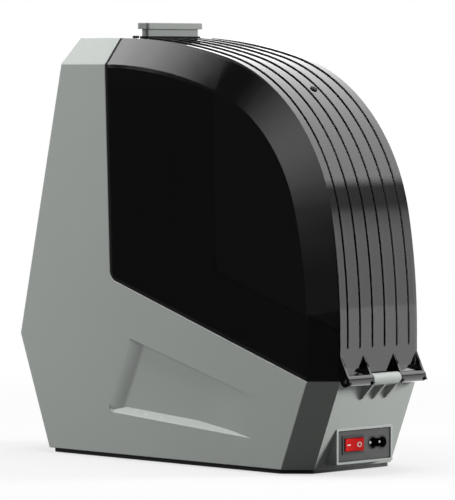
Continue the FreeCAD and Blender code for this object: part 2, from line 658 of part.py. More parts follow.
def make_base_shell():
    solid = [common("base_wall", [shell, base_side])]
    under = box("under_base", f"2 * ({WIDE})", "3 * rear_y", "20")
    holes = [put(under, f"-({WIDE})", "nose_y - 20", "plate_top - 20")]
    for side, sign in SIDES:
        recess = loft(f"grip_walls_{side}", grip_outlines("grip", side, sign, "grip_depth"))
        holes.append(common(f"grip_{side}", [recess, grip_floor("grip_floor", side, sign, "0")]))
        behind = grip_outlines("cup", side, sign, "grip_depth + wall")
        cup = loft(f"cup_walls_{side}", [offset(f"{item.Name}_grown", item, "wall") for item in behind])
        solid.append(common(f"cup_{side}", [cup, grip_floor("cup_floor", side, sign, "wall")]))

    # Hinge knuckle with its web and gussets
    solid.append(rod("knuckle", "knuckle_radius", "-knuckle_half", "2 * knuckle_half", "hinge_y", "hinge_z"))
    web = [
        (rear_face("seam_z - 5") + " - 1", "seam_z - 5"),
        ("hinge_y + 0.5", "hinge_z - knuckle_radius"),
        ("hinge_y - 1", "hinge_z + 1"),
        ("rear_y + 0.4", "seam_z"),
        ("rear_y - 1", "seam_z"),
    ]
    solid.append(prism("knuckle_web", "-knuckle_half", "2 * knuckle_half", web))
    gusset = [
        (rear_face("gusset_z") + " - 1", "gusset_z"),
        (rear_face("gusset_z") + " + 1", "gusset_z"),
        ("hinge_y + 2", "hinge_z - knuckle_radius + 0.6"),
        ("rear_y - 1", "seam_z - 1"),
    ]
    for number in (-1, 0, 1):
        start = f"{number} * gusset_pitch - fin_width / 2"
        solid.append(prism(f"gusset_{number + 2}", start, "fin_width", gusset))
    holes.append(rod("knuckle_bore", "pin_radius + pin_play", "-knuckle_half - 1", "2 * knuckle_half + 2",
                     "hinge_y", "hinge_z"))

    # Raised frame of the power panel, with a seat for its plate
    frame = [
        (rear_face("panel_low") + " - 1", "panel_low"),
        ("panel_y", "panel_low", "0.6"),
        ("panel_y", "panel_high", "0.6"),
        (rear_face("panel_high") + " - 1", "panel_high"),
    ]
    solid.append(prism("panel_frame", "-panel_half", "2 * panel_half", frame))
    seat = box("panel_seat_cut", "2 * (panel_half - panel_rim)", "panel_seat + 1",
               "panel_high - panel_low - 2 * panel_rim")
    holes.append(put(seat, "-panel_half + panel_rim", "panel_y - panel_seat", "panel_low + panel_rim"))
    edge = "(panel_rim + panel_ledge)"
    deep = box("panel_hole", f"2 * (panel_half - {edge})", "20", f"panel_high - panel_low - 2 * {edge}")
    holes.append(put(deep, f"-panel_half + {edge}", "panel_y - 19", f"panel_low + {edge}"))

    # Screw bosses, which carry the chamber floor on top
    for side, sign in SIDES:
        for end in ("front", "rear"):
            boss = cylinder(f"boss_{side}_{end}", "boss_radius", "floor_low - plate_top")
            solid.append(put(boss, f"{sign} * boss_x", f"boss_{end}", "plate_top"))
            pilot = cylinder(f"pilot_{side}_{end}", "pilot_radius", "pilot_depth")
            holes.append(put(pilot, f"{sign} * boss_x", f"boss_{end}", "plate_top"))

    # Front panel: seat and window for the display, button holes and board posts
    lens_cut = new_body("lens_seat_cut")
    pad(lens_cut, "lens_seat_pad", "XY_Plane", "-lens_thick", "3",
        [rectangle("-lens_half", "-lens_rise", "lens_half", "lens_rise", "lens_corner")])
    pad(lens_cut, "lens_window_pad", "XY_Plane", "-2 * wall", "2 * wall",
        [rectangle("-lens_half + lens_seat", "-lens_rise + lens_seat", "lens_half - lens_seat",
                   "lens_rise - lens_seat", "1")])
    holes.append(put_on_front(lens_cut))
    for number in (-1, 0, 1):
        hole = cylinder(f"button_hole_{number + 2}", "button_radius + button_play", "3 * wall")
        holes.append(put_on_front(hole, f"{number} * button_pitch", "-button_drop", "-2 * wall"))
    for side, sign in SIDES:
        for end, way in (("low", -1), ("high", 1)):
            post = cylinder(f"board_post_{side}_{end}", "post_radius", "board_offset - wall / 2")
            up = f"-board_drop + ({way}) * post_rise"
            solid.append(put_on_front(post, f"{sign} * post_x", up, "-board_offset"))

    outlet = cylinder("outlet_hole", "outlet_radius", "wall + 4")
    holes.append(put(outlet, "0", "outlet_y", "top_z - wall - 2"))
    return cut("base_whole", fuse("base_solid", solid), fuse("base_holes", holes))


base_whole = make_base_shell()


# The base shell is made of a column, two flat side panels, two cups behind the grips and a rear panel.

def side_zone(side, sign):
    """The space that a side panel takes up: the flat side's wall and the screw bosses behind it."""
    inner = "half_width - wall"
    face = housing_outline(f"side_face_{side}", "-half_width" if sign < 0 else inner,
                           "top_chamfer", "rear_chamfer", "side")
    zones = [extrude(f"side_slice_{side}", face, "wall")]
    reach = f"({inner} - boss_x + boss_radius + boss_gap)"
    for end in ("front", "rear"):
        room = box(f"boss_room_{side}_{end}", reach, "2 * (boss_radius + boss_gap)", "floor_low")
        start = f"-({inner})" if sign < 0 else f"{inner} - {reach}"
        zones.append(put(room, start, f"boss_{end} - boss_radius - boss_gap"))
    return fuse(f"side_zone_{side}", zones)


def cup_zone(side, sign):
    """The space behind a side panel that the bottom of its grip recess takes up."""
    inner = "half_width - wall"
    room = box(f"cup_zone_{side}", "cup_room", "grip_rear - grip_front + 2 * cup_margin",
               "grip_top_z + cup_margin - plate_top")
    start = f"-({inner})" if sign < 0 else f"{inner} - cup_room"
    return put(room, start, "grip_front - cup_margin", "plate_top")


def split_base_shell():
    side_zones = {side: side_zone(side, sign) for side, sign in SIDES}
    cup_zones = {side: cup_zone(side, sign) for side, sign in SIDES}
    rest = cut("base_middle", base_whole, fuse("side_zones", list(side_zones.values())))
    rear = put(box("rear_zone", f"2 * ({WIDE})", "rear_y", "top_z / 2"), f"-({WIDE})", "rear_split")
    for side, _ in SIDES:
        node(f"side_panel_{side}", common(f"side_panel_{side}", [base_whole, side_zones[side]]))
        node(f"grip_cup_{side}", common(f"grip_cup_{side}", [rest, cup_zones[side]]))
    node("rear_panel", common("rear_panel", [rest, rear]))
    node("column_shell", cut("column_shell", rest, fuse("other_zones", list(cup_zones.values()) + [rear])))


split_base_shell()


# Base plate with feet and screws

FEET = [(f"{sign} * foot_x", f"foot_{end}") for _, sign in SIDES for end in ("front", "rear")]
BOSSES = [(f"{sign} * boss_x", f"boss_{end}") for _, sign in SIDES for end in ("front", "rear")]


def make_base_plate():
    body = new_body("base_plate")
    front = "nose_y + chin_slope * (nose_z - plate_top) + plate_inset"
    rear = rear_face("plate_top") + " - plate_inset"
    half = "half_width - plate_inset"
    corners = [
        (f"-({half})", front, "4"),
        (half, front, "4"),
        (half, f"{rear} - rear_chamfer", "4"),
        (f"{band_half} - plate_inset / 2", rear, "4"),
        (f"-({band_half} - plate_inset / 2)", rear, "4"),
        (f"-({half})", f"{rear} - rear_chamfer", "4"),
    ]
    pad(body, "plate_pad", "XY_Plane", "plate_low", "plate_top - plate_low", [corners])
    posts = [(f"{sign} * (power_half - 5)", f"power_{end}") for _, sign in SIDES
             for end in ("front + 5", "rear - 5")]
    pad(body, "plate_posts", "XY_Plane", "plate_top", "power_low - plate_top",
        circles=[(x, y, "power_post") for x, y in posts])
    pocket(body, "plate_feet", "XY_Plane", "plate_low", "foot_thick - plate_low",
           circles=[(x, y, "foot_radius") for x, y in FEET])
    pocket(body, "plate_heads", "XY_Plane", "plate_low", "screw_head_thick + 0.2",
           circles=[(x, y, "screw_head + 0.3") for x, y in BOSSES])
    pocket(body, "plate_holes", "XY_Plane", "plate_low", "plate_top",
           circles=[(x, y, "screw_radius + 0.3") for x, y in BOSSES])
    slot = rectangle("-slot_length / 2", "heater_y - slot_width / 2", "slot_length / 2",
                     "heater_y + slot_width / 2", "slot_width * 0.45")
    vent = pocket(body, "plate_vent", "XY_Plane", "plate_low", "plate_top", [slot])
    repeat(body, "plate_vents", vent, "V_Axis", 4, "slot_pitch * 3")
    return body


node("base_plate", make_base_plate())


def make_rubber_feet():
    feet = []
    for number, (x, y) in enumerate(FEET, start=1):
        body = new_body(f"foot_{number}")
        disc = [("0", "0", "foot_radius")]
        foot = pad(body, f"foot_pad_{number}", "XY_Plane", "0", "foot_thick", circles=disc)
        soften(body, f"foot_edge_{number}", foot, lambda edge: edge.CenterOfMass.z < 0.1, "0.5")
        feet.append(put(body, x, y))
    return group("rubber_feet", feet)


node("rubber_feet", make_rubber_feet())


def make_screw(name, x, y, head_low, length):
    """A pan-head screw that points up."""
    body = new_body(name)
    corners = [
        ("0", "0"),
        ("screw_head - 0.4", "0", "0.35"),
        ("screw_head", "screw_head_thick * 0.6"),
        ("screw_head", "screw_head_thick"),
        ("screw_radius", "screw_head_thick"),
        ("screw_radius", f"screw_head_thick + {length} - 1"),
        ("screw_radius * 0.4", f"screw_head_thick + {length}"),
        ("0", f"screw_head_thick + {length}"),
    ]
    revolve(body, f"{name}_turn", "XZ_Plane", corners, "V_Axis")
    return put(body, x, y, head_low)


node("base_screws", group("base_screws", [
    make_screw(f"base_screw_{number}", x, y, "plate_low + 0.2", "screw_length")
    for number, (x, y) in enumerate(BOSSES, start=1)
]))


# Chamber floor and front partition

def make_chamber_floor():
    body = new_body("chamber_floor")
    right = [
        ("floor_half", "partition_y"),
        ("floor_half", "notch_front"),
        ("floor_notch", "notch_front"),
        ("floor_notch", "notch_rear"),
        ("floor_half", "notch_rear"),
        ("floor_half", "floor_rear - floor_corner"),
        ("floor_half - floor_corner", "floor_rear"),
    ]
    left = [(f"-({x})", y) for x, y in reversed(right)]
    pad(body, "floor_pad", "XY_Plane", "floor_low", "floor_thick", [right + left])
    for name, middle, count in (("heater", "heater_y", 7), ("fan", "fan_y", 5)):
        first = f"{middle} - slot_pitch * {(count - 1) / 2}"
        corners = rectangle("-slot_length / 2", f"{first} - slot_width / 2", "slot_length / 2",
                            f"{first} + slot_width / 2", "slot_width * 0.45")
        slot = pocket(body, f"{name}_slot", "XY_Plane", "floor_low", "floor_thick", [corners])
        repeat(body, f"{name}_slots", slot, "V_Axis", count, f"slot_pitch * {count - 1}")
    return body


node("chamber_floor", make_chamber_floor())


def make_front_partition():
    body = new_body("front_partition")
    side = "half_width - wall - partition_play"
    shoulder = "top_z - top_chamfer - wall - partition_play"
    high = "top_z - wall - partition_play"
    flat = f"{band_half} - wall * tan(22.5) - partition_play"
    right = [(side, "floor_low"), (side, shoulder), (flat, high)]
    left = [(f"-({x})", z) for x, z in reversed(right)]
    pad(body, "partition_pad", "XZ_Plane", "-partition_y", "partition_thick", [right + left])
    return body


node("front_partition", make_front_partition())


# Rollers on their cradles

AXLES = (("front", "chamber_y - axle_offset"), ("rear", "chamber_y + axle_offset"))


def make_cradle(side, sign):
    """A strip with two posts, each with a slot that an axle drops into."""
    body = new_body(f"roller_cradle_{side}")
    low = "floor_low + floor_thick"
    start = "cradle_inner" if sign > 0 else "-cradle_inner - cradle_width"
    strip = rectangle("chamber_y - cradle_reach", low, "chamber_y + cradle_reach", f"{low} + cradle_strip")
    pad(body, f"cradle_strip_{side}", "YZ_Plane", start, "cradle_width", [strip])
    for end, y in AXLES:
        post = [
            (f"{y} - cradle_post - 3", f"{low} + 1"),
            (f"{y} + cradle_post + 3", f"{low} + 1"),
            (f"{y} + cradle_post", "cradle_top", "2"),
            (f"{y} - cradle_post", "cradle_top", "2"),
        ]
        pad(body, f"cradle_post_{side}_{end}", "YZ_Plane", start, "cradle_width", [post])
    for end, y in AXLES:
        slot = "axle_radius + axle_play"
        mouth = rectangle(f"{y} - {slot}", "axle_z", f"{y} + {slot}", "cradle_top + 2")
        pocket(body, f"cradle_mouth_{side}_{end}", "YZ_Plane", start, "cradle_width", [mouth])
        seat = [(y, "axle_z", slot)]
        pocket(body, f"cradle_seat_{side}_{end}", "YZ_Plane", start, "cradle_width", circles=seat)
    return body


for side, sign in SIDES:
    node(f"roller_cradle_{side}", make_cradle(side, sign))
for end, y in AXLES:
    node(f"axle_{end}", rod(f"axle_{end}", "axle_radius", "-axle_half", "2 * axle_half", y, "axle_z"))


def make_roller(name):
    """A grooved roller, turned about X."""
    body = new_body(name)
    right = [("roller_half", "bearing_radius"), ("roller_half", "roller_rim"),
             ("roller_half - roller_lip", "roller_rim"), ("groove_half", "roller_groove")]
    left = [(f"-({x})", z) for x, z in reversed(right)]
    revolve(body, f"{name}_turn", "XZ_Plane", right + left, "H_Axis")
    return body


def make_bearing(name):
    """A shielded ball bearing, drawn as its closed outline."""
    body = new_body(name)
    bore = "axle_radius + axle_play"
    right = [("bearing_half", bore), ("bearing_half", f"{bore} + 1"),
             ("bearing_half - shield_depth", f"{bore} + 1"),
             ("bearing_half - shield_depth", "bearing_radius - 1"),
             ("bearing_half", "bearing_radius - 1"), ("bearing_half", "bearing_radius")]
    left = [(f"-({x})", z) for x, z in reversed(right)]
    revolve(body, f"{name}_turn", "XZ_Plane", right + left, "H_Axis")
    return body


for end, y in AXLES:
    for side, sign in SIDES:
        for kind, make in (("roller", make_roller), ("bearing", make_bearing)):
            name = f"{kind}_{end}_{side}"
            node(name, put(make(name), f"{sign} * roller_x", y, "axle_z"))


# Heater and fan under the floor

def make_heater():
    body = new_body("heater_block")
    pad(body, "heater_pad", "XY_Plane", "floor_low - heater_high", "heater_high",
        [rectangle("-heater_half", "heater_y - heater_reach", "heater_half", "heater_y + heater_reach", "2")])
    count = 10
    first = f"-fin_pitch * {(count - 1) / 2}"
    gap = rectangle(f"{first} - fin_gap / 2", "heater_y - heater_reach - 1", f"{first} + fin_gap / 2",
                    "heater_y + heater_reach + 1")
    root = "floor_low - heater_high + heater_base"
    slot = pocket(body, "heater_gap", "XY_Plane", root, "heater_high", [gap])
    repeat(body, "heater_gaps", slot, "H_Axis", count, f"fin_pitch * {count - 1}")
    return body


node("heater_block", make_heater())
FAN_LOW = "floor_low - fan_high"


def make_fan_frame():
    body = new_body("fan_frame")
    pad(body, "fan_pad", "XY_Plane", FAN_LOW, "fan_high",
        [rectangle("-fan_half", "-fan_half", "fan_half", "fan_half", "3")])
    pocket(body, "fan_duct", "XY_Plane", FAN_LOW, "fan_high", circles=[("0", "0", "fan_bore")])
    pad(body, "fan_foot", "XY_Plane", FAN_LOW, "fan_strut", circles=[("0", "0", "fan_hub + 1")])
    strut = pad(body, "fan_strut_pad", "XY_Plane", FAN_LOW, "fan_strut",
                [rectangle("fan_hub", "-fan_strut", "fan_bore + 0.5", "fan_strut")])
    polar(body, "fan_struts", strut, 3)
    corners = [(f"{sign} * fan_hole", f"{way} * fan_hole", "1.7") for sign in (-1, 1) for way in (-1, 1)]
    pocket(body, "fan_holes", "XY_Plane", FAN_LOW, "fan_high", circles=corners)
    return put(body, "0", "fan_y")


node("fan_frame", make_fan_frame())


def make_fan_rotor():
    """A hub with seven twisted blades."""
    body = new_body("fan_rotor")
    low = f"{FAN_LOW} + fan_strut + 0.8"
    high = "fan_high - fan_strut - 1.8"
    pad(body, "rotor_hub", "XY_Plane", low, high, circles=[("0", "0", "fan_hub")])
    sections = []
    for name, level, lag in (("low", low, "-4"), ("high", f"{low} + {high}", "4")):
        corners = [("fan_hub - 1", f"{lag} * 0.6 - 0.7"), ("fan_tip", f"{lag} - 0.7"),
                   ("fan_tip", f"{lag} + 0.7"), ("fan_hub - 1", f"{lag} * 0.6 + 0.7")]
        sections.append(profile(body, f"blade_{name}", "XY_Plane", level, [corners], []))
    blade = body.newObject("PartDesign::AdditiveLoft", "rotor_blade")
    blade.Profile = sections[0]
    blade.Sections = [sections[1]]
    blade.Ruled = True
    polar(body, "rotor_blades", blade, 7)
    return put(body, "0", "fan_y")


node("fan_rotor", make_fan_rotor())


# Power board behind the inlet

def make_power_board():
    high = "power_low + board_thick"
    board = put(box("power_sheet", "2 * power_half", "power_rear - power_front", "board_thick"),
                "-power_half", "power_front", "power_low")
    parts = [board]
    blocks = (("transformer", "-8", "power_front + 5", "22", "18", "16"),
              ("rectifier", "20", "power_front + 4", "5", "14", "13"),
              ("coil", "-30", "power_front + 12", "12", "12", "11"),
              ("terminal", "18", "power_rear - 10", "12", "8", "10"))
    for name, x, y, length, width, height in blocks:
        parts.append(put(box(f"power_{name}", length, width, height), x, y, high))
    for number, x in enumerate(("-22", "29"), start=1):
        parts.append(put(cylinder(f"power_capacitor_{number}", "5", "15"), x, "power_front + 7", high))
    return fuse("power_board", parts)


node("power_board", make_power_board())


# Power panel: plate, rocker switch and mains inlet

def panel_body(name):
    """A body whose sketches look at the panel from behind: across, up and out of it."""
    body = new_body(name)
    return put(body, "0", "panel_y", "socket_z", turn_about("0; 0.70710678; 0.70710678", 180))


def inlet_lobes(grow):
    """The two lobes of the figure-eight inlet, as circles."""
    return [(f"-inlet_x + {sign} * inlet_pitch / 2", "0", f"inlet_radius + {grow}") for sign in (-1, 1)]


def inlet_waist(grow):
    """The narrower stretch between those lobes."""
    rise = f"(inlet_radius * 0.8 + {grow})"
    return rectangle("-inlet_x - inlet_pitch / 2", f"-{rise}", "-inlet_x + inlet_pitch / 2", rise)


SWITCH_HOLE = rectangle("-switch_x - switch_length / 2", "-switch_height / 2",
                        "-switch_x + switch_length / 2", "switch_height / 2")


def make_power_plate():
    body = panel_body("power_plate")
    inset = "(panel_rim + plate_gap)"
    corners = rectangle(f"-panel_half + {inset}", f"panel_low + {inset} - socket_z",
                        f"panel_half - {inset}", f"panel_high - {inset} - socket_z", "0.8")
    pad(body, "plate_sheet", "XY_Plane", "-panel_seat", "panel_sheet", [corners])
    pocket(body, "plate_switch", "XY_Plane", "-panel_seat", "panel_seat", [SWITCH_HOLE])
    pocket(body, "plate_waist", "XY_Plane", "-panel_seat", "panel_seat", [inlet_waist("0")])
    for number, lobe in enumerate(inlet_lobes("0"), start=1):
        pocket(body, f"plate_lobe_{number}", "XY_Plane", "-panel_seat", "panel_seat", circles=[lobe])
    return body


node("power_plate", make_power_plate())
PLATE_FACE = "panel_sheet - panel_seat"


def make_switch_housing():
    body = panel_body("switch_housing")
    half, rise = "switch_length / 2", "switch_height / 2"

    def around(grow):
        return rectangle(f"-switch_x - {half} - ({grow})", f"-{rise} - ({grow})",
                         f"-switch_x + {half} + ({grow})", f"{rise} + ({grow})", "0.5")

    pad(body, "switch_flange", "XY_Plane", PLATE_FACE, "0.5", [around("0.6")])
    pad(body, "switch_box", "XY_Plane", "-switch_depth", f"switch_depth + {PLATE_FACE}", [around("-0.1")])
    well = rectangle(f"-switch_x - {half} + switch_rim", f"-{rise} + switch_rim",
                     f"-switch_x + {half} - switch_rim", f"{rise} - switch_rim")
    pocket(body, "switch_well", "XY_Plane", "-switch_depth + 4", "switch_depth", [well])
    return body


node("switch_housing", make_switch_housing())


def make_switch_rocker():
    """A rocker with two pressing faces that meet at a shallow angle."""
    body = new_body("switch_rocker")
    reach = "switch_length / 2 - switch_rim - 0.5"
    tall = "switch_height - 2 * switch_rim - 0.5"
    corners = [
        (f"-({reach}) + 2.5", "-4"),
        (f"{reach} - 2.5", "-4"),
        (f"{reach}", "1.6", "0.5"),
        ("0", "0.4"),
        (f"-({reach})", "1.6", "0.5"),
    ]
    pad(body, "rocker_pad", "XY_Plane", f"-({tall}) / 2", tall, [corners])
    # On: the end away from the middle of the panel is pressed in.
    turn = turn_about("0; 0; 1", "-rocker_tilt")
    return put(body, "switch_x", f"panel_y + {PLATE_FACE} + 0.2", "socket_z", turn)


node("switch_rocker", make_switch_rocker())


def make_inlet_socket():
    """The body of a figure-eight inlet, with the recess that the plug fits."""
    body = panel_body("inlet_socket")
    outer = f"inlet_depth + {PLATE_FACE} + 0.3"
    for number, lobe in enumerate(inlet_lobes("-plate_play / 2"), start=1):
        pad(body, f"inlet_lobe_{number}", "XY_Plane", "-inlet_depth", outer, circles=[lobe])
    pad(body, "inlet_waist", "XY_Plane", "-inlet_depth", outer, [inlet_waist("-plate_play / 2")])
    floor = "-inlet_depth + inlet_floor"
    for number, lobe in enumerate(inlet_lobes("-inlet_wall"), start=1):
        pocket(body, f"inlet_well_{number}", "XY_Plane", floor, "inlet_depth", circles=[lobe])
    pocket(body, "inlet_middle", "XY_Plane", floor, "inlet_depth", [inlet_waist("-inlet_wall")])
    return body


node("inlet_socket", make_inlet_socket())


def make_inlet_pins():
    pins = []
    for number, (u, _, _) in enumerate(inlet_lobes("0"), start=1):
        body = new_body(f"inlet_pin_{number}")
        pin = pad(body, f"inlet_pin_pad_{number}", "XY_Plane", "-inlet_depth + inlet_floor",
                  "inlet_depth - inlet_floor - 2.5", circles=[("0", "0", "inlet_pin_radius")])
        soften(body, f"inlet_pin_tip_{number}", pin, lambda edge: edge.CenterOfMass.z > -3, "0.6")
        turn = turn_about("0; 0.70710678; 0.70710678", 180)
        pins.append(put(body, f"-({u})", "panel_y", "socket_z", turn))
    return group("inlet_pins", pins)


node("inlet_pins", make_inlet_pins())


# Front panel: lens, display, buttons and control board

def make_display_lens():
    body = new_body("display_lens")
    pad(body, "lens_pad", "XY_Plane", "-lens_thick", "lens_thick",
        [rectangle("-lens_half + plate_play", "-lens_rise + plate_play", "lens_half - plate_play",
                   "lens_rise - plate_play", "lens_corner")])
    return put_on_front(body)


node("display_lens", make_display_lens())


def make_display_module():
    body = new_body("display_module")
    inset = "(lens_seat - 2)"
    outline = rectangle(f"-lens_half + {inset}", f"-lens_rise + {inset}", f"lens_half - {inset}",
                        f"lens_rise - {inset}", "1")
    pad(body, "module_pad", "XY_Plane", "-wall - module_depth", "module_depth", [outline])
    glass = "(lens_seat + 0.5)"
    screen = rectangle(f"-lens_half + {glass}", f"-lens_rise + {glass}", f"lens_half - {glass}",
                       f"lens_rise - {glass}")
    pad(body, "module_screen", "XY_Plane", "-wall", "1", [screen])
    return put_on_front(body)


node("display_module", make_display_module())


def make_button(name):
    """A turned cap on a flange, with a stem that reaches back to its switch."""
    body = new_body(name)
    flange_front = "-wall - button_play"
    corners = [
        ("0", "-board_offset + 2.6"),
        ("2", "-board_offset + 2.6"),
        ("2", f"{flange_front} - 1.2"),
        ("button_flange", f"{flange_front} - 1.2"),
        ("button_flange", flange_front),
        ("button_radius", flange_front),
        ("button_radius", "button_proud", "0.8"),
        ("0", "button_proud + 0.2"),
    ]
    revolve(body, f"{name}_turn", "XZ_Plane", corners, "V_Axis")
    return body


BUTTONS = (("left", -1), ("middle", 0), ("right", 1))
for place, number in BUTTONS:
    name = f"button_{place}"
    node(name, put_on_front(make_button(name), f"{number} * button_pitch", "-button_drop"))


def make_control_board():
    body = new_body("control_board")
    low, high = "-board_drop - board_rise", "-board_drop + board_rise"
    pad(body, "board_pad", "XY_Plane", "-board_offset - board_thick", "board_thick",
        [rectangle("-board_half", low, "board_half", high, "2")])
    keys = [rectangle(f"{number} * button_pitch - 3", "-button_drop - 3", f"{number} * button_pitch + 3",
                      "-button_drop + 3") for _, number in BUTTONS]
    pad(body, "board_keys", "XY_Plane", "-board_offset", "1.6", keys)
    spacers = [(f"{sign} * (lens_half - lens_seat - 1)", f"{way} * (lens_rise - lens_seat - 1)", "1.5")
               for sign in (-1, 1) for way in (-1, 1)]
    reach = "board_offset - wall - module_depth"
    pad(body, "board_spacers", "XY_Plane", "-board_offset", reach, circles=spacers)
    return put_on_front(body)


node("control_board", make_control_board())


def make_humidity_sensor():
    body = new_body("humidity_sensor")
    pad(body, "sensor_case", "XZ_Plane", "-partition_y - 5", "5",
        [rectangle("sensor_x - 7", "sensor_z - 10", "sensor_x + 7", "sensor_z + 10", "1.5")])
    slit = rectangle("sensor_x - 5", "sensor_z - 6.8", "sensor_x + 5", "sensor_z - 5.2", "0.7")
    cut_in = pocket(body, "sensor_slit", "XZ_Plane", "-partition_y - 5", "2", [slit])
    repeat(body, "sensor_slits", cut_in, "V_Axis", 5, "12")
    return body


node("humidity_sensor", make_humidity_sensor())


# Filament outlet on the column

def make_outlet_tube():
    body = new_body("outlet_tube")
    low = "outlet_proud - outlet_length"
    corners = [
        ("outlet_bore", low),
        ("outlet_radius", low),
        ("outlet_radius", "-wall - 1.4"),
        ("collar_radius", "-wall - 1.4"),
        ("collar_radius", "-wall"),
        ("outlet_radius", "-wall"),
        ("outlet_radius", "outlet_proud", "0.4"),
        ("outlet_bore", "outlet_proud"),
    ]
    revolve(body, "outlet_turn", "XZ_Plane", corners, "V_Axis")
    return put(body, "0", "outlet_y", "top_z")


node("outlet_tube", make_outlet_tube())


# Lid with its seal, hinge, handle and plug

node("lid_seal", common("lid_seal", [shell, cut("seal_strip", seal_side, base_side)]))
node("hinge_pin", rod("hinge_pin", "pin_radius", "-pin_half", "2 * pin_half", "hinge_y", "hinge_z"))
band_sketch = outer_sections[2]
doc.recompute()
shoulder_arc = band_sketch.Geometry[7]
shoulder_centre = shoulder_arc.Center


def make_ribs():
    """Ribs that follow the band of the lid from behind the handle to above the hinge."""
    start = "-rib_count / 2 * rib_pitch"
    length = "rib_count * rib_pitch"
    section = housing_outline("rib_section", start, "0", "0", "band")
    outside = extrude("rib_outside", offset("rib_crest", section, "rib_height"), length)
    inside = extrude("rib_inside", offset("rib_root", section, "-wall / 2"), length)
    strip = cut("rib_strip", outside, inside)
    combs = []
    outline = [
        ("rib_start", "rib_end_z"),
        ("rear_y", "rib_end_z - rib_height"),
        ("rear_y + rib_height", "rib_end_z + rib_height"),
        ("rear_y + rib_height + 5", "rib_end_z + rib_height"),
        ("rear_y + rib_height + 5", "top_z + rib_height + 5"),
        ("rib_start + 2 * rib_height", "top_z + rib_height"),
        ("rib_start", "top_z"),
    ]
    for number in range(int(value("rib_count"))):
        place = f"({number} - (rib_count - 1) / 2) * rib_pitch - rib_width / 2"
        combs.append(prism(f"rib_comb_{number + 1}", place, "rib_width", outline))
    return common("lid_ribs", [strip, fuse("rib_combs", combs)])


def make_hinge_barrels():
    """Two barrels, each with a web to the lid and a fin at both ends."""
    solids = []
    fin = [
        ("rear_y - 1", "fin_apex_z"),
        ("rear_y", "fin_apex_z"),
        ("fin_foot_y", "fin_foot_z"),
        ("hinge_y + 2.6", "hinge_z - 3.1"),
        ("hinge_y - 1.6", "hinge_z - 3.3"),
        ("hinge_y - 3.2", "hinge_z - 1"),
        ("rear_y + 0.4", "seam_z + seal_gap"),
        ("rear_y - 1", "seam_z + seal_gap"),
    ]
    web = [
        ("rear_y - 1", "seam_z + seal_gap"),
        ("rear_y + 0.4", "seam_z + seal_gap"),
        ("hinge_y - 1", "hinge_z - 1"),
        ("hinge_y + 0.8", "hinge_z + barrel_radius - 0.1"),
        ("rear_y - 1", "hinge_z + barrel_radius + 4"),
    ]
    for side, sign in SIDES:
        start = "barrel_inner" if sign > 0 else "-barrel_outer"
        length = "barrel_outer - barrel_inner"
        solids.append(rod(f"barrel_{side}", "barrel_radius", start, length, "hinge_y", "hinge_z"))
        solids.append(prism(f"barrel_web_{side}", start, length, web))
        for end, edge in (("near", start), ("far", f"{start} + {length} - fin_width")):
            solids.append(prism(f"fin_{side}_{end}", edge, "fin_width", fin))
    return solids


def make_lid_shell():
    lid_wall = cut("lid_wall", shell, not_lid)
    solid = fuse("lid_solid", [lid_wall, make_ribs()] + make_hinge_barrels())
    bore = "pin_radius + pin_play"
    holes = [rod("barrel_bore", bore, "-half_width", "2 * half_width", "hinge_y", "hinge_z")]
    plug_hole = cylinder("plug_hole", "plug_radius", "4 * wall")
    plug_hole.Placement = plug_place(-2 * value("wall"))
    holes.append(plug_hole)
    for side, sign in SIDES:
        hole = cylinder(f"handle_hole_{side}", "screw_radius + 0.3", "3 * wall")
        holes.append(put(hole, f"{sign} * handle_screw_x", "handle_y", "top_z - 2 * wall"))
    return cut("lid_shell", solid, fuse("lid_holes", holes))


def plug_place(out):
    """A placement on the lid's shoulder, with +Z out of the lid, so far out of its surface."""
    angle = math.radians(value("plug_angle"))
    reach = value("band_corner_radius") + out
    along = shoulder_centre.x + reach * math.cos(angle)
    spot = FreeCAD.Vector(0, along, shoulder_centre.y + reach * math.sin(angle))
    return FreeCAD.Placement(spot, FreeCAD.Rotation(FreeCAD.Vector(1, 0, 0), value("plug_angle") - 90))


node("lid_shell", make_lid_shell())


def make_lid_plug():
    body = new_body("lid_plug")
    corners = [
        ("0", "-wall - 1"),
        ("plug_radius - 0.4", "-wall - 1"),
        ("plug_radius - 0.1", "-wall"),
        ("plug_radius - 0.1", "0"),
        ("plug_head", "0"),
        ("plug_head", "plug_proud * 0.5"),
        ("plug_head - 0.6", "plug_proud"),
        ("0", "plug_proud"),
    ]
    revolve(body, "plug_turn", "XZ_Plane", corners, "V_Axis")
    body.Placement = plug_place(0)
    return body


node("lid_plug", make_lid_plug())


def make_lid_handle():
    body = new_body("lid_handle")
    stem_low = "top_z + gasket_thick"
    stem_top = f"{stem_low} + stem_high"
    stem = rectangle("-stem_half", "-stem_depth / 2", "stem_half", "stem_depth / 2", "stem_corner")
    pad(body, "stem_pad", "XY_Plane", stem_low, "stem_high", [stem])
    cap = rectangle("-handle_half", "-handle_depth / 2", "handle_half", "handle_depth / 2", "stem_corner")
    top = pad(body, "cap_pad", "XY_Plane", stem_top, "handle_thick", [cap])
    holes = [(f"{sign} * handle_screw_x", "0", "screw_radius + 0.1") for _, sign in SIDES]
    bored = pocket(body, "handle_holes", "XY_Plane", stem_low, "stem_high + 1", circles=holes)
    crown = value(f"{stem_top} + handle_thick") - 0.01
    soften(body, "cap_edge", bored, lambda edge: edge.BoundBox.ZMin > crown, "0.6")
    return put(body, "0", "handle_y")


node("lid_handle", make_lid_handle())


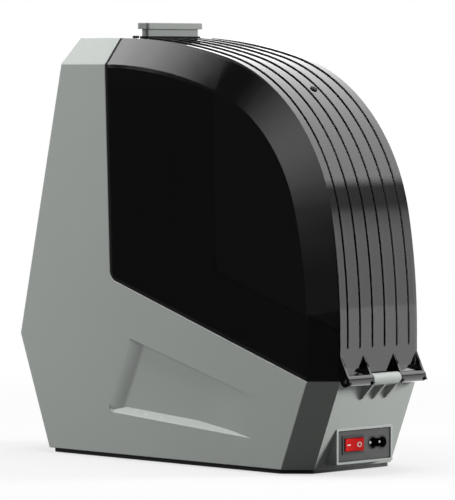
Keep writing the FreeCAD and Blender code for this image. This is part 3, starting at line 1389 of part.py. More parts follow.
def make_handle_gasket():
    """A flat pad between the handle's stem and the lid, trimmed to the lid's curve."""
    body = new_body("gasket_pad")
    outline = rectangle("-stem_half - gasket_rim", "-stem_depth / 2 - gasket_rim", "stem_half + gasket_rim",
                        "stem_depth / 2 + gasket_rim", "stem_corner")
    pad(body, "gasket_sheet", "XY_Plane", "top_z - 1", "gasket_thick + 1", [outline])
    holes = [(f"{sign} * handle_screw_x", "0", "screw_radius + 0.3") for _, sign in SIDES]
    pocket(body, "gasket_holes", "XY_Plane", "top_z - 1", "gasket_thick + 1", circles=holes)
    put(body, "0", "handle_y")
    return cut("handle_gasket", body, housing)


node("handle_gasket", make_handle_gasket())
node("handle_screws", group("handle_screws", [
    make_screw(f"handle_screw_{side}", f"{sign} * handle_screw_x", "handle_y",
               "top_z - wall - screw_head_thick - 0.4", "wall + gasket_thick + 4.3")
    for side, sign in SIDES
]))


# Check every object, then write each sub-part

doc.recompute()
faults = [item.Name for item in doc.Objects if {"Invalid", "Error"} & set(item.State)]
for name, item in subparts.items():
    if item.Shape.isNull() or not item.Shape.isValid() or not item.Shape.Solids:
        faults.append(name)
if faults:
    raise ValueError(f"failed: {', '.join(faults)}")

os.makedirs("parts", exist_ok=True)
for name, item in subparts.items():
    item.Shape.exportStep(f"parts/{name}.step")
    print(name, len(item.Shape.Solids), "solids", round(item.Shape.Volume), "mm3")
print(len(subparts), "sub-parts")
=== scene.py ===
import json
import math

import bmesh
import bpy
from mathutils import Matrix, Vector


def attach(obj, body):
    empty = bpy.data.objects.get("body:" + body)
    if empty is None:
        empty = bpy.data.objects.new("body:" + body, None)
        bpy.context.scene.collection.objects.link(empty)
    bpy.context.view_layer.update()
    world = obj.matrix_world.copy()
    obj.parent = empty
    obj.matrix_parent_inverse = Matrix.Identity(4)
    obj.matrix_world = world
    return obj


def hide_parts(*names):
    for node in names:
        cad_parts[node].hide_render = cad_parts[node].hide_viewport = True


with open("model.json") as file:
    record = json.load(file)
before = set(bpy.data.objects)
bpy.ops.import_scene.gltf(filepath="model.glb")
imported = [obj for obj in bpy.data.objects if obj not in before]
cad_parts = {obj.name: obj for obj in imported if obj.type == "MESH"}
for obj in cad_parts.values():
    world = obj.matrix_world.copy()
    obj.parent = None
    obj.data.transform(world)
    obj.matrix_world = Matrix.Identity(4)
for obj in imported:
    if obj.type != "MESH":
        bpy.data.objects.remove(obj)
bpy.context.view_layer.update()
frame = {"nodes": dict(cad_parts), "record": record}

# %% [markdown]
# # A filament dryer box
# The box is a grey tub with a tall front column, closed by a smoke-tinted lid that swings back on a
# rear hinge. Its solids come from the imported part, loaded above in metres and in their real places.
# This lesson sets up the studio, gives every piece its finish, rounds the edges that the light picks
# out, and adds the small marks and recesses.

MM = 0.001

# %% [markdown]
# ## Camera
# The box was photographed from behind and to its right, almost level with the table, through a long
# lens: the upright edges stay parallel. The lens and the place come from the corners of the housing.
# The picture is 455 by 500, and the long side of the picture takes the sensor's width, so that side
# turns pixels into millimetres of lens.

# %% Camera
PICTURE_LONG_SIDE = 500
FOCAL_PIXELS = 4024.5
LEFT_OF_MIDDLE = 6.29
SENSOR_WIDTH = 36
VIEW_AZIMUTH, VIEW_ELEVATION = 134.64, 2.62
VIEW_AIM = Vector((0, -4.6, 133.7))
VIEW_DISTANCE = 2568.4


def towards(azimuth, elevation):
    """Unit vector from the box to a viewer. Azimuth 0 stands in front, 90 at the right side."""
    turn, rise = math.radians(azimuth), math.radians(elevation)
    return Vector((math.sin(turn) * math.cos(rise), -math.cos(turn) * math.cos(rise), math.sin(rise)))


lens = bpy.data.cameras.new("photo_lens")
lens.sensor_width = SENSOR_WIDTH
lens.lens = FOCAL_PIXELS / PICTURE_LONG_SIDE * lens.sensor_width
lens.shift_x = LEFT_OF_MIDDLE / PICTURE_LONG_SIDE
camera = bpy.data.objects.new("photo_camera", lens)
bpy.context.scene.collection.objects.link(camera)
view_line = towards(VIEW_AZIMUTH, VIEW_ELEVATION)
camera.location = VIEW_AIM * MM + view_line * VIEW_DISTANCE * MM
camera.rotation_mode = "QUATERNION"
camera.rotation_quaternion = (-view_line).to_track_quat("-Z", "Y")
bpy.context.scene.camera = camera
print("lens", round(lens.lens, 1), "mm")

# %% [markdown]
# ## Lights
# The photograph has a white ground with a faint shadow. Two large soft lights stand off to the sides,
# so the faces that look straight at the camera stay dark, and a third hangs overhead. A lamp would
# show as a bright square on the lid and through it, so the lamps are hidden from mirrored and from
# transmitted rays. What the glossy faces mirror comes from the room instead.

# %% Lights
LIGHTS_AIM_AT = Vector((0, 0, 0.13))


def softbox(name, aim, distance, size, level):
    """A square lamp that lights a white face turned towards it to that level."""
    lamp = bpy.data.lights.new(name, "AREA")
    lamp.size = size
    lamp.energy = level * (math.pi * distance) ** 2
    light = bpy.data.objects.new(name, lamp)
    bpy.context.scene.collection.objects.link(light)
    aim = Vector(aim).normalized()
    light.location = LIGHTS_AIM_AT + aim * distance
    light.rotation_mode = "QUATERNION"
    light.rotation_quaternion = aim.to_track_quat("Z", "Y")
    light.visible_glossy = False
    light.visible_transmission = False


softbox("side_light", aim=(0.62, -0.72, 0.32), distance=1.8, size=0.9, level=0.82)
softbox("rear_light", aim=(-0.70, 0.68, 0.22), distance=1.8, size=0.5, level=1.38)
softbox("top_light", aim=(0.05, 0.05, 1.0), distance=1.6, size=1.1, level=1.12)

# %% [markdown]
# ## Building with shader nodes
# Every finish below is a small network of nodes. Made by hand, each node takes several lines, so a
# few helpers make a node or a sum in one line each. An input takes a value or another node's socket.

# %% Node helpers
def set_input(tree, socket, value):
    """Link an input to another node's socket, or give it a value."""
    if isinstance(value, bpy.types.NodeSocket):
        tree.links.new(value, socket)
    else:
        socket.default_value = value


def add(tree, kind, settings=None, **inputs):
    """A node with its settings and its inputs by name."""
    node = tree.nodes.new(kind)
    for name, value in (settings or {}).items():
        setattr(node, name, value)
    for name, value in inputs.items():
        set_input(tree, node.inputs[name.replace("_", " ")], value)
    return node


def in_order(tree, kind, operation, *values):
    """A Math or Vector Math node, by the order of its inputs."""
    node = add(tree, kind, {"operation": operation})
    for socket, value in zip(node.inputs, values):
        set_input(tree, socket, value)
    return node


def calc(tree, operation, *values):
    return in_order(tree, "ShaderNodeMath", operation, *values).outputs[0]


print("node helpers ready")

# %% [markdown]
# ## Room
# To the eye the room is plain white. The tinted lid needs a room with a bright and a dark part to
# mirror, or it would look like a grey sheet. So reflections see a room of their own: bright on the
# left and dark on the right, which keeps the lid's flat side black. Behind, a dark stripe at one
# height draws the band that bends over the lid's back. A lamp in front and a bright corner above and
# behind on the right draw its highlights. All other light from the room is low and even.

# %% What reflections see
LEFT_LEVEL, RIGHT_LEVEL = 2.5, 0.05
LOW_SHARE, STRIPE_SHARE, HIGH_SHARE = 0.78, 0.2, 1.3
FRONT_LAMP = Vector((0.05, -0.85, 0.52)).normalized()
FRONT_LAMP_LEVEL = 3.3
CORNER_LOW_LEVEL, CORNER_HIGH_LEVEL = 0.1, 2.4


def ramp(tree, value, low, high, start=0.0, end=1.0, kind="SMOOTHSTEP"):
    """Goes from start to end while the value goes from low to high."""
    return add(tree, "ShaderNodeMapRange", {"interpolation_type": kind}, Value=value, From_Min=low, From_Max=high,
               To_Min=start, To_Max=end).outputs[0]


def side_level(tree, sideways):
    """Bright on the left, dark on the right. Sideways is the x of a direction, from -1 to 1."""
    return ramp(tree, sideways, low=-0.2, high=0.3, start=LEFT_LEVEL, end=RIGHT_LEVEL)


def behind_share(tree, y, z):
    """The share of the side's level that is left: low down, in the stripe, and above it or in front."""
    front = ramp(tree, y, low=0.15, high=0.35, start=1.0, end=0.0)
    past_low = calc(tree, "MAXIMUM", ramp(tree, z, low=0.16, high=0.29), front)
    past_stripe = calc(tree, "MAXIMUM", ramp(tree, z, low=0.38, high=0.46), front)
    share = calc(tree, "MULTIPLY_ADD", past_low, STRIPE_SHARE - LOW_SHARE, LOW_SHARE)
    return calc(tree, "MULTIPLY_ADD", past_stripe, HIGH_SHARE - STRIPE_SHARE, share)


def mirrored_level(tree, direction):
    """How bright the room is in a direction, to a reflection."""
    split = add(tree, "ShaderNodeSeparateXYZ", Vector=direction).outputs
    x, y, z = split["X"], split["Y"], split["Z"]
    at_lamp = in_order(tree, "ShaderNodeVectorMath", "DOT_PRODUCT", direction, FRONT_LAMP).outputs["Value"]
    lamp = ramp(tree, at_lamp, low=0.80, high=0.97, end=FRONT_LAMP_LEVEL)
    walls = calc(tree, "MULTIPLY_ADD", side_level(tree, x), behind_share(tree, y, z), lamp)
    behind_right = calc(tree, "MULTIPLY", ramp(tree, y, low=-0.3, high=0.35), ramp(tree, x, low=0.15, high=0.45))
    above = ramp(tree, z, low=0.08, high=0.85, start=CORNER_LOW_LEVEL, end=CORNER_HIGH_LEVEL)
    return calc(tree, "MULTIPLY_ADD", behind_right, above, walls)


print("reflections see levels from", RIGHT_LEVEL, "to", LEFT_LEVEL, "and a lamp of", FRONT_LAMP_LEVEL)

# %% Room
WHITE = (1, 1, 1, 1)
EVEN_LIGHT = 0.05


def blend(tree, share, first, second):
    """The first shader, turning into the second as the share rises."""
    mix = add(tree, "ShaderNodeMixShader", Fac=share)
    tree.links.new(first.outputs[0], mix.inputs[1])
    tree.links.new(second.outputs[0], mix.inputs[2])
    return mix


def by_ray(tree, seen, mirrored, rest):
    """One shader for the eye, also through the lid, one for reflections and one for all other light."""
    path = add(tree, "ShaderNodeLightPath").outputs
    eye = calc(tree, "MAXIMUM", path["Is Camera Ray"], path["Is Transmission Ray"])
    return blend(tree, eye, blend(tree, path["Is Glossy Ray"], rest, mirrored), seen)


def make_room():
    """White to the eye, a room of its own for reflections, and a low even light for the rest."""
    world = bpy.data.worlds.new("white_room")
    world.use_nodes = True
    tree = world.node_tree
    tree.nodes.clear()
    direction = add(tree, "ShaderNodeTexCoord").outputs["Generated"]
    plain = add(tree, "ShaderNodeBackground", Color=WHITE, Strength=1.0)
    mirrored = add(tree, "ShaderNodeBackground", Color=WHITE, Strength=mirrored_level(tree, direction))
    low = add(tree, "ShaderNodeBackground", Color=WHITE, Strength=EVEN_LIGHT)
    end = add(tree, "ShaderNodeOutputWorld")
    tree.links.new(by_ray(tree, plain, mirrored, low).outputs[0], end.inputs["Surface"])
    bpy.context.scene.world = world


make_room()
bpy.context.scene.view_settings.view_transform = "Standard"
print("room:", bpy.context.scene.world.name)

# %% [markdown]
# ## Floor
# The floor has to pass into the white room without an edge and still keep the shadow of the box. Near
# the box it is matt and glows a little, so a shadow only dims it, and further out it turns into plain
# white. Reflections see the same bright and dark side in it as in the room.

# %% Floor
FLOOR_HALF_SIZE = 40
SHADOW_WITHIN, WHITE_BEYOND = 0.2, 0.8
SHADOWED_GREY = (0.2, 0.2, 0.2, 1)
SHADOWED_GLOW = 0.68
BOUNCING_GREY = (0.12, 0.12, 0.12, 1)


def make_floor_finish():
    material = bpy.data.materials.new("pale_floor")
    material.use_nodes = True
    tree = material.node_tree
    tree.nodes.clear()
    place = add(tree, "ShaderNodeTexCoord").outputs["Object"]
    reach = in_order(tree, "ShaderNodeVectorMath", "LENGTH", place).outputs["Value"]
    near = ramp(tree, reach, low=SHADOW_WITHIN, high=WHITE_BEYOND, start=1.0, end=0.0)
    matt = add(tree, "ShaderNodeBsdfDiffuse", Color=SHADOWED_GREY)
    glow = add(tree, "ShaderNodeEmission", Color=WHITE, Strength=SHADOWED_GLOW)
    shadowed = add(tree, "ShaderNodeAddShader")
    tree.links.new(matt.outputs[0], shadowed.inputs[0])
    tree.links.new(glow.outputs[0], shadowed.inputs[1])
    white = add(tree, "ShaderNodeEmission", Color=WHITE, Strength=1.0)
    x = add(tree, "ShaderNodeSeparateXYZ", Vector=place).outputs["X"]
    level = side_level(tree, calc(tree, "DIVIDE", x, reach))
    mirrored = add(tree, "ShaderNodeEmission", Color=WHITE, Strength=level)
    bouncing = add(tree, "ShaderNodeBsdfDiffuse", Color=BOUNCING_GREY)
    surface = by_ray(tree, blend(tree, near, white, shadowed), mirrored, bouncing)
    end = add(tree, "ShaderNodeOutputMaterial")
    tree.links.new(surface.outputs[0], end.inputs["Surface"])
    return material


sheet = bmesh.new()
bmesh.ops.create_grid(sheet, x_segments=1, y_segments=1, size=FLOOR_HALF_SIZE)
floor_mesh = bpy.data.meshes.new("floor")
sheet.to_mesh(floor_mesh)
sheet.free()
floor_mesh.materials.append(make_floor_finish())
floor = bpy.data.objects.new("floor", floor_mesh)
bpy.context.scene.collection.objects.link(floor)
print("floor:", 2 * FLOOR_HALF_SIZE, "m wide")

# %% [markdown]
# ## Moulded plastic
# Moulded plastic is never quite even: the tool leaves a fine grain, the colour drifts a little over a
# large wall, and the sheen changes with it. One node group makes all three from the piece's own
# coordinates, so that every moulded piece can share it with its own values.

# %% Grain of moulded plastic
SURFACE = [("Colour", "Color"), ("Roughness", "Float"), ("Normal", "Vector")]
GRAIN_PER_METRE = 2200.0
GRAIN_HEIGHT = 0.05 * MM
SHEEN_SWING = 0.16


def make_group(name, inputs):
    """A node group with named inputs, given as (name, kind, default), that puts out a surface."""
    group = bpy.data.node_groups.new(name, "ShaderNodeTree")
    for label, kind, default in inputs:
        socket = group.interface.new_socket(label, in_out="INPUT", socket_type=f"NodeSocket{kind}")
        socket.default_value = default
    for label, kind in SURFACE:
        group.interface.new_socket(label, in_out="OUTPUT", socket_type=f"NodeSocket{kind}")
    return group, group.nodes.new("NodeGroupInput").outputs, group.nodes.new("NodeGroupOutput").inputs


def noise(tree, place, scale, detail):
    return add(tree, "ShaderNodeTexNoise", Vector=place, Scale=scale, Detail=detail).outputs["Fac"]


def scaled(tree, colour, level):
    """A colour made lighter or darker."""
    return add(tree, "ShaderNodeVectorMath", {"operation": "SCALE"}, Vector=colour, Scale=level).outputs[0]


def swing(tree, pattern, reach, middle):
    """A value that swings about its middle with a pattern."""
    return calc(tree, "MULTIPLY_ADD", calc(tree, "SUBTRACT", pattern, 0.5), reach, middle)


def make_moulded_grain():
    group, start, end = make_group("moulded_grain", [
        ("Colour", "Color", (0.5, 0.5, 0.5, 1)), ("Drift", "Float", 0.06), ("Roughness", "Float", 0.45),
        ("Grain per metre", "Float", GRAIN_PER_METRE), ("Grain", "Float", 0.15),
    ])
    place = add(group, "ShaderNodeTexCoord").outputs["Object"]
    broad = noise(group, place, scale=14.0, detail=3.0)
    patchy = noise(group, place, scale=160.0, detail=2.0)
    fine = noise(group, place, scale=start["Grain per metre"], detail=2.0)
    both = calc(group, "MULTIPLY_ADD", fine, 0.5, calc(group, "MULTIPLY", broad, 0.5))
    level = swing(group, both, calc(group, "MULTIPLY", start["Drift"], 2.0), 1.0)
    bump = add(group, "ShaderNodeBump", Strength=start["Grain"], Distance=GRAIN_HEIGHT, Height=fine)
    group.links.new(scaled(group, start["Colour"], level), end["Colour"])
    group.links.new(swing(group, patchy, SHEEN_SWING, start["Roughness"]), end["Roughness"])
    group.links.new(bump.outputs[0], end["Normal"])
    return group


moulded_grain = make_moulded_grain()
print("node group:", moulded_grain.name)

# %% [markdown]
# ## Moulded finishes
# Most of the box is satin grey. Its chamfered rim and the ledges of its grips are smoother and catch more light; the
# rim is also coloured much lighter than the housing, a painted highlight line along the top of the housing. Its
# handle is a shade darker. The rest is black, dark or red moulding. A low specular level keeps the satin pieces from
# mirroring the bright side of the room.

# %% Moulded finishes
HOUSING_GREY = (0.383, 0.408, 0.39)
SATIN = {"roughness": 0.45, "grain": 0.12, "Specular_IOR_Level": 0.12}
POLISHED = {"roughness": 0.25, "grain": 0.05}


def new_finish(name):
    material = bpy.data.materials.new(name)
    material.use_nodes = True
    return material, material.node_tree, material.node_tree.nodes["Principled BSDF"]


def from_group(name, group, **values):
    """A finish whose colour, roughness and normal come from a node group."""
    material, tree, shader = new_finish(name)
    surface = add(tree, "ShaderNodeGroup", {"node_tree": group}, **values).outputs
    for label, target in (("Colour", "Base Color"), ("Roughness", "Roughness"), ("Normal", "Normal")):
        tree.links.new(surface[label], shader.inputs[target])
    return material, shader


def moulded(name, colour, roughness, grain=0.15, per_metre=GRAIN_PER_METRE, drift=0.06, **plain):
    """A finish of moulded plastic. Further values go straight to the shader."""
    material, shader = from_group(name, moulded_grain, Colour=(*colour, 1), Roughness=roughness, Grain=grain,
                                  Drift=drift, Grain_per_metre=per_metre)
    for label, value in plain.items():
        shader.inputs[label.replace("_", " ")].default_value = value
    return material


FINISH = {
    "housing_grey": moulded("satin_grey_housing", HOUSING_GREY, **SATIN),
    # The rim's light colour is a painted highlight line; its smoothness and full specular level are real.
    "rim_painted_highlight": moulded("painted_highlight_grey_rim", (0.72, 0.75, 0.73), **POLISHED, Specular_IOR_Level=1.0),
    "polished_ledge": moulded("polished_grey_ledge", HOUSING_GREY, **POLISHED),
    "handle_grey": moulded("satin_grey_handle", (0.26, 0.275, 0.265), **SATIN),
    "black_rubber": moulded("black_rubber", (0.012, 0.012, 0.012), 0.62, grain=0.3, per_metre=3000.0,
                            Specular_IOR_Level=0.06),
    "black_plastic": moulded("black_moulding", (0.016, 0.016, 0.017), 0.48, grain=0.25, Specular_IOR_Level=0.3),
    "liner_plastic": moulded("dark_chamber_liner", (0.05, 0.05, 0.052), 0.5, grain=0.3),
    "panel_grey": moulded("panel_plate_grey", (0.05, 0.051, 0.05), 0.55, grain=0.3, per_metre=2600.0,
                          Specular_IOR_Level=0.3),
    "roller_nylon": moulded("turned_nylon", (0.62, 0.62, 0.59), 0.4, grain=0.2),
    "display_black": moulded("display_glass", (0.006, 0.006, 0.007), 0.08, grain=0.0, drift=0.3,
                             Specular_IOR_Level=0.12),
    "switch_red": moulded("switch_red", (0.53, 0.007, 0.007), 0.36, grain=0.05, Specular_IOR_Level=0.12),
}
print("moulded finishes:", sorted(FINISH))

# %% [markdown]
# ## Smoke-tinted lid
# The lid is clear plastic with a dark tint: it mirrors the room, most strongly where it is seen at a
# low angle, and lets a little of the inside through. It is made as tinted glass with a slight haze
# of fingerprints in its roughness, and a faint waviness from the tool that bends long reflections.
# The fins and barrels of its hinge are thick, so behind its back wall the tint turns almost black.

# %% Tinted lid
TINT_DARK, TINT_LIGHT = (0.030, 0.030, 0.033, 1), (0.042, 0.042, 0.046, 1)
BACK_WALL, FINS_FROM = 131.95 * MM, 132.6 * MM
FINS_TINT = 0.01
CLEAREST, HAZIEST = 0.02, 0.06
PLASTIC_IOR = 1.5


def mixed(tree, share, first, second):
    """One colour turning into another as the share rises."""
    mix = add(tree, "ShaderNodeMix", {"data_type": "RGBA"}, Factor=share)
    mix.inputs["A"].default_value = first
    mix.inputs["B"].default_value = second
    return mix.outputs["Result"]


def make_smoke():
    material, tree, shader = new_finish("smoke_tinted_lid")
    place = add(tree, "ShaderNodeTexCoord").outputs["Object"]
    haze = noise(tree, place, scale=38.0, detail=4.0)
    rough = ramp(tree, haze, low=0.35, high=0.75, start=CLEAREST, end=HAZIEST, kind="LINEAR")
    tint = mixed(tree, noise(tree, place, scale=9.0, detail=2.0), TINT_DARK, TINT_LIGHT)
    y = add(tree, "ShaderNodeSeparateXYZ", Vector=place).outputs["Y"]
    thick = ramp(tree, y, low=BACK_WALL, high=FINS_FROM, start=1.0, end=FINS_TINT, kind="LINEAR")
    wave = noise(tree, place, scale=26.0, detail=1.0)
    bump = add(tree, "ShaderNodeBump", Strength=0.06, Distance=1.0 * MM, Height=wave)
    tree.links.new(rough, shader.inputs["Roughness"])
    tree.links.new(scaled(tree, tint, thick), shader.inputs["Base Color"])
    tree.links.new(bump.outputs[0], shader.inputs["Normal"])
    shader.inputs["Transmission Weight"].default_value = 1.0
    shader.inputs["IOR"].default_value = PLASTIC_IOR
    return material


FINISH["smoke_clear"] = make_smoke()
print("lid finish:", FINISH["smoke_clear"].name)

# %% [markdown]
# ## Metal
# Axles, screws and the hinge pin are drawn and turned steel, the heater is an extruded block and the
# inlet's pins are plated. Each shows fine lines from its making. Noise that is stretched along one
# axis draws those lines, in the colour, the roughness and a slight bump.

# %% Drawn and turned metal
LINES_ALONG_X, LINES_ALONG_Y, PIN_LINES = (60, 1800, 1800), (1500, 40, 1500), (1200, 200, 1200)
LINE_DARKEST, LINE_SWING = 0.88, 0.24
LINE_ROUGHNESS_SWING = 0.3
LINE_HEIGHT = 0.02 * MM


def make_drawn_lines():
    group, start, end = make_group("drawn_lines", [
        ("Colour", "Color", (0.6, 0.6, 0.6, 1)), ("Roughness", "Float", 0.3), ("Stretch", "Vector", LINES_ALONG_X),
        ("Depth", "Float", 0.2),
    ])
    place = add(group, "ShaderNodeTexCoord").outputs["Object"]
    stretched = in_order(group, "ShaderNodeVectorMath", "MULTIPLY", place, start["Stretch"]).outputs[0]
    lines = noise(group, stretched, scale=1.0, detail=3.0)
    level = calc(group, "MULTIPLY_ADD", lines, LINE_SWING, LINE_DARKEST)
    bump = add(group, "ShaderNodeBump", Strength=start["Depth"], Distance=LINE_HEIGHT, Height=lines)
    group.links.new(scaled(group, start["Colour"], level), end["Colour"])
    group.links.new(swing(group, lines, LINE_ROUGHNESS_SWING, start["Roughness"]), end["Roughness"])
    group.links.new(bump.outputs[0], end["Normal"])
    return group


drawn_lines = make_drawn_lines()


def metal(name, colour, roughness, stretch):
    material, shader = from_group(name, drawn_lines, Colour=(*colour, 1), Roughness=roughness, Stretch=stretch)
    shader.inputs["Metallic"].default_value = 1.0
    return material


FINISH["steel"] = metal("drawn_steel", (0.55, 0.55, 0.56), 0.28, LINES_ALONG_X)
FINISH["aluminium"] = metal("extruded_aluminium", (0.72, 0.73, 0.75), 0.4, LINES_ALONG_Y)
FINISH["plated_brass"] = metal("plated_pin", (0.26, 0.26, 0.25), 0.34, PIN_LINES)
print("metal finishes share:", drawn_lines.name)

# %% [markdown]
# ## Circuit boards
# The boards hide behind the partition and under the chamber floor. Green mask covers a copper
# pattern that shows as slightly lighter tracks: a brick pattern stands for the tracks, cut by noise.

# %% Green board
MASK_GREEN, TRACK_GREEN = (0.012, 0.075, 0.035, 1), (0.03, 0.14, 0.06, 1)
MASK_ROUGHNESS = 0.3
TRACK_HEIGHT = 0.05 * MM


def make_board():
    material, tree, shader = new_finish("green_board")
    place = add(tree, "ShaderNodeTexCoord").outputs["Object"]
    bricks = add(tree, "ShaderNodeTexBrick", Vector=place, Scale=140.0, Mortar_Size=0.03).outputs["Fac"]
    kept = calc(tree, "GREATER_THAN", noise(tree, place, scale=120.0, detail=1.0), 0.5)
    tracks = calc(tree, "MULTIPLY", bricks, kept)
    bump = add(tree, "ShaderNodeBump", Strength=0.4, Distance=TRACK_HEIGHT, Height=tracks)
    tree.links.new(mixed(tree, tracks, MASK_GREEN, TRACK_GREEN), shader.inputs["Base Color"])
    tree.links.new(bump.outputs[0], shader.inputs["Normal"])
    shader.inputs["Roughness"].default_value = MASK_ROUGHNESS
    return material


FINISH["board_green"] = make_board()
print("finishes:", len(FINISH))

# %% [markdown]
# ## Finishes on the solids
# The part's record says which finish each solid has, and which body carries it. Every solid gets its
# finish first, so that those that stay as they are, inside the box, look right as well.

# %% Finishes on the solids
SLOT = {item["node"]: item["material_slot"] for item in frame["record"]["subparts"]}
BODY = {node: body for body, nodes in frame["record"]["behaviour"]["bodies"].items() for node in nodes}

for node, solid in frame["nodes"].items():
    solid.data.materials.clear()
    solid.data.materials.append(FINISH[SLOT[node]])
print("solids with a finish:", len(SLOT))

# %% [markdown]
# ## Rounded edges
# Real edges are never razor sharp: a moulding has a small radius everywhere, and that radius is what
# draws the bright line along an edge. The loaded solids are loose triangles, so a copy is merged,
# its flats are made whole faces, and its sharp edges are bevelled. The solid itself isn't changed.

# %% Rounded copies
SAME_POINT = 0.001 * MM
SAME_FLAT = math.radians(0.3)


def merged(node):
    """A copy of a solid's mesh with whole faces."""
    work = bmesh.new()
    work.from_mesh(frame["nodes"][node].data)
    bmesh.ops.remove_doubles(work, verts=work.verts[:], dist=SAME_POINT)
    bmesh.ops.dissolve_limit(work, angle_limit=SAME_FLAT, verts=work.verts[:], edges=work.edges[:])
    return work


def round_edges(work, radius, segments=2, least=30, chosen=None, clamp=True):
    """Round every edge that turns by more than some degrees, or those of them that a test picks."""
    edges = [edge for edge in work.edges if edge.is_manifold and edge.calc_face_angle(0) > math.radians(least)]
    if chosen is not None:
        edges = [edge for edge in edges if chosen(edge)]
    bmesh.ops.bevel(work, geom=edges, offset=radius * MM, offset_type="OFFSET", affect="EDGES", segments=segments,
                    profile=0.5, material=-1, clamp_overlap=clamp)
    return len(edges)


print("points closer than", SAME_POINT / MM, "mm are merged")

# %% [markdown]
# ## Pieces on their bodies
# A finished mesh becomes an object at the origin that rides on a body, so it follows the joints, and
# it takes the place of its solid. Its curves are shaded smooth up to an angle. A merged copy still
# holds the shading of the loose triangles as an attribute, which would win, so that goes first.

# %% Pieces on their bodies
def place_piece(work, name, body, slot, finish=None, smooth=35):
    """Make an object of a finished mesh, on the body that carries it."""
    mesh = bpy.data.meshes.new(name)
    work.to_mesh(mesh)
    work.free()
    old_normals = mesh.attributes.get("custom_normal")
    if old_normals:
        mesh.attributes.remove(old_normals)
    mesh.shade_smooth()
    mesh.set_sharp_from_angle(angle=math.radians(smooth))
    mesh.materials.append(finish or FINISH[slot])
    piece = bpy.data.objects.new(name, mesh)
    bpy.context.scene.collection.objects.link(piece)
    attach(piece, body)
    return piece


def even_normals(piece):
    """Let the large flats set the shading, so that only the rounded edges shine."""
    even = piece.modifiers.new("even_normals", "WEIGHTED_NORMAL")
    even.keep_sharp = True


def dress(node, radius, finish=None):
    """Stand a merged copy with rounded edges in for a solid. The radius is in millimetres."""
    work = merged(node)
    count = round_edges(work, radius)
    piece = place_piece(work, f"{node}_dressed", BODY[node], SLOT[node], finish)
    even_normals(piece)
    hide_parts(node)
    print(node, "edges rounded:", count)


print("bodies that carry pieces:", sorted(set(BODY.values())))

# %% [markdown]
# ## Joining solids
# The tub with its column is one moulding on the real box, made here from several solids. A Boolean
# modifier joins copies of them, so that no seam shows. The same helper later takes recesses out of
# the screws. Booleans leave slivers behind, which are dissolved again.

# %% Joining solids
SLIVER = 0.02 * MM
SAME_JOINED_POINT = 0.03 * MM
SAME_JOINED_FLAT = math.radians(0.5)


def combined(works, operation):
    """The first mesh with the others joined to it, or taken out of it."""
    copies = []
    for number, work in enumerate(works):
        mesh = bpy.data.meshes.new(f"copy_{number}")
        work.to_mesh(mesh)
        work.free()
        copies.append(bpy.data.objects.new(f"copy_{number}", mesh))
        bpy.context.scene.collection.objects.link(copies[-1])
    for part in copies[1:]:
        step = copies[0].modifiers.new(part.name, "BOOLEAN")
        step.operation = operation
        step.solver = "EXACT"
        step.object = part
    whole = bmesh.new()
    whole.from_object(copies[0], bpy.context.evaluated_depsgraph_get())
    for part in copies:
        bpy.data.meshes.remove(part.data)
    bmesh.ops.dissolve_degenerate(whole, dist=SLIVER, edges=whole.edges[:])
    bmesh.ops.remove_doubles(whole, verts=whole.verts[:], dist=SAME_JOINED_POINT)
    bmesh.ops.dissolve_limit(whole, angle_limit=SAME_JOINED_FLAT, verts=whole.verts[:], edges=whole.edges[:])
    return whole


HOUSING = ("column_shell", "side_panel_left", "side_panel_right", "grip_cup_left", "grip_cup_right", "rear_panel")
housing = combined([merged(node) for node in HOUSING], "UNION")
print("housing faces:", len(housing.faces))

# %% [markdown]
# ## Grips
# A grip is pressed into each side of the housing. Its sloping front wall came out of the Boolean as
# one face with many corners, which takes one flat shade. Three cuts, one along the wall and two
# across it, part it into faces whose shading swells and fades as it does on the moulding.

# %% Grips
GRIP_INSIDE = 40 * MM
GRIP_FRONT, GRIP_REAR = -66 * MM, 76 * MM
GRIP_BOTTOM, GRIP_TOP = 15 * MM, 84 * MM
WALL_LEAN, WALL_SLOPE = (0, 20.9, 47.6), (-3.5, 13.0, 0)
WALL_LOW, WALL_HIGH = (49.0, -56.59, 35.65), (49.0, -38.73, 76.35)
CUT_SHARE = 0.8
FACING_ALIKE = 0.998


def in_grip(part):
    """Whether all of an edge or a face lies in one of the two grips."""
    return all(abs(corner.co.x) > GRIP_INSIDE and GRIP_FRONT < corner.co.y < GRIP_REAR
               and GRIP_BOTTOM < corner.co.z < GRIP_TOP for corner in part.verts)


def at_side(sign, point):
    """A point or direction of the right grip, or its mirror image in the left one."""
    return Vector((sign * point[0], point[1], point[2]))


def cut_grip_wall(work, sign):
    lean, slope = at_side(sign, WALL_LEAN), at_side(sign, WALL_SLOPE)
    low, high = at_side(sign, WALL_LOW), at_side(sign, WALL_HIGH)
    outward = slope.cross(lean).normalized() * sign
    for middle, along in ((low + slope * CUT_SHARE, lean.cross(outward)), (low, lean), (high, lean)):
        walls = [face for face in work.faces if face.normal.dot(outward) > FACING_ALIKE and in_grip(face)]
        around = dict.fromkeys(part for face in walls for part in (face, *face.edges, *face.verts))
        bmesh.ops.bisect_plane(work, geom=list(around), plane_co=middle * MM, plane_no=along.normalized())


for sign in (-1, 1):
    cut_grip_wall(housing, sign)
print("housing faces with the grip walls cut:", len(housing.faces))

# %% [markdown]
# ## Housing
# The outer edges get the radius of the tool: the rim under the lid the largest, the other edges of the flat sides
# less, and the rest of the long edges least. The chamfered rim and the ledges of the grips then get their smoother
# finish, and the rim a much lighter colour as well, a painted highlight line. A material index on each face does that
# within one piece.

# %% Housing
FLAT_SIDE = 48.9 * MM
SEAM_FRONT, SEAM_BOTTOM = -62 * MM, 57 * MM
LONG_EDGE = 2 * MM
RIM_SIDE, RIM_FRONT, RIM_BOTTOM = 48 * MM, -58 * MM, 57 * MM
RIM_LEAST_UP, RIM_MOST_UP = 0.2, 0.93
LEDGE_LEAST_UP = 0.45
RIM_INDEX, LEDGE_INDEX = 1, 2


def on_side(edge):
    flat = all(abs(corner.co.x) > FLAT_SIDE for corner in edge.verts)
    return edge.is_convex and flat and not in_grip(edge)


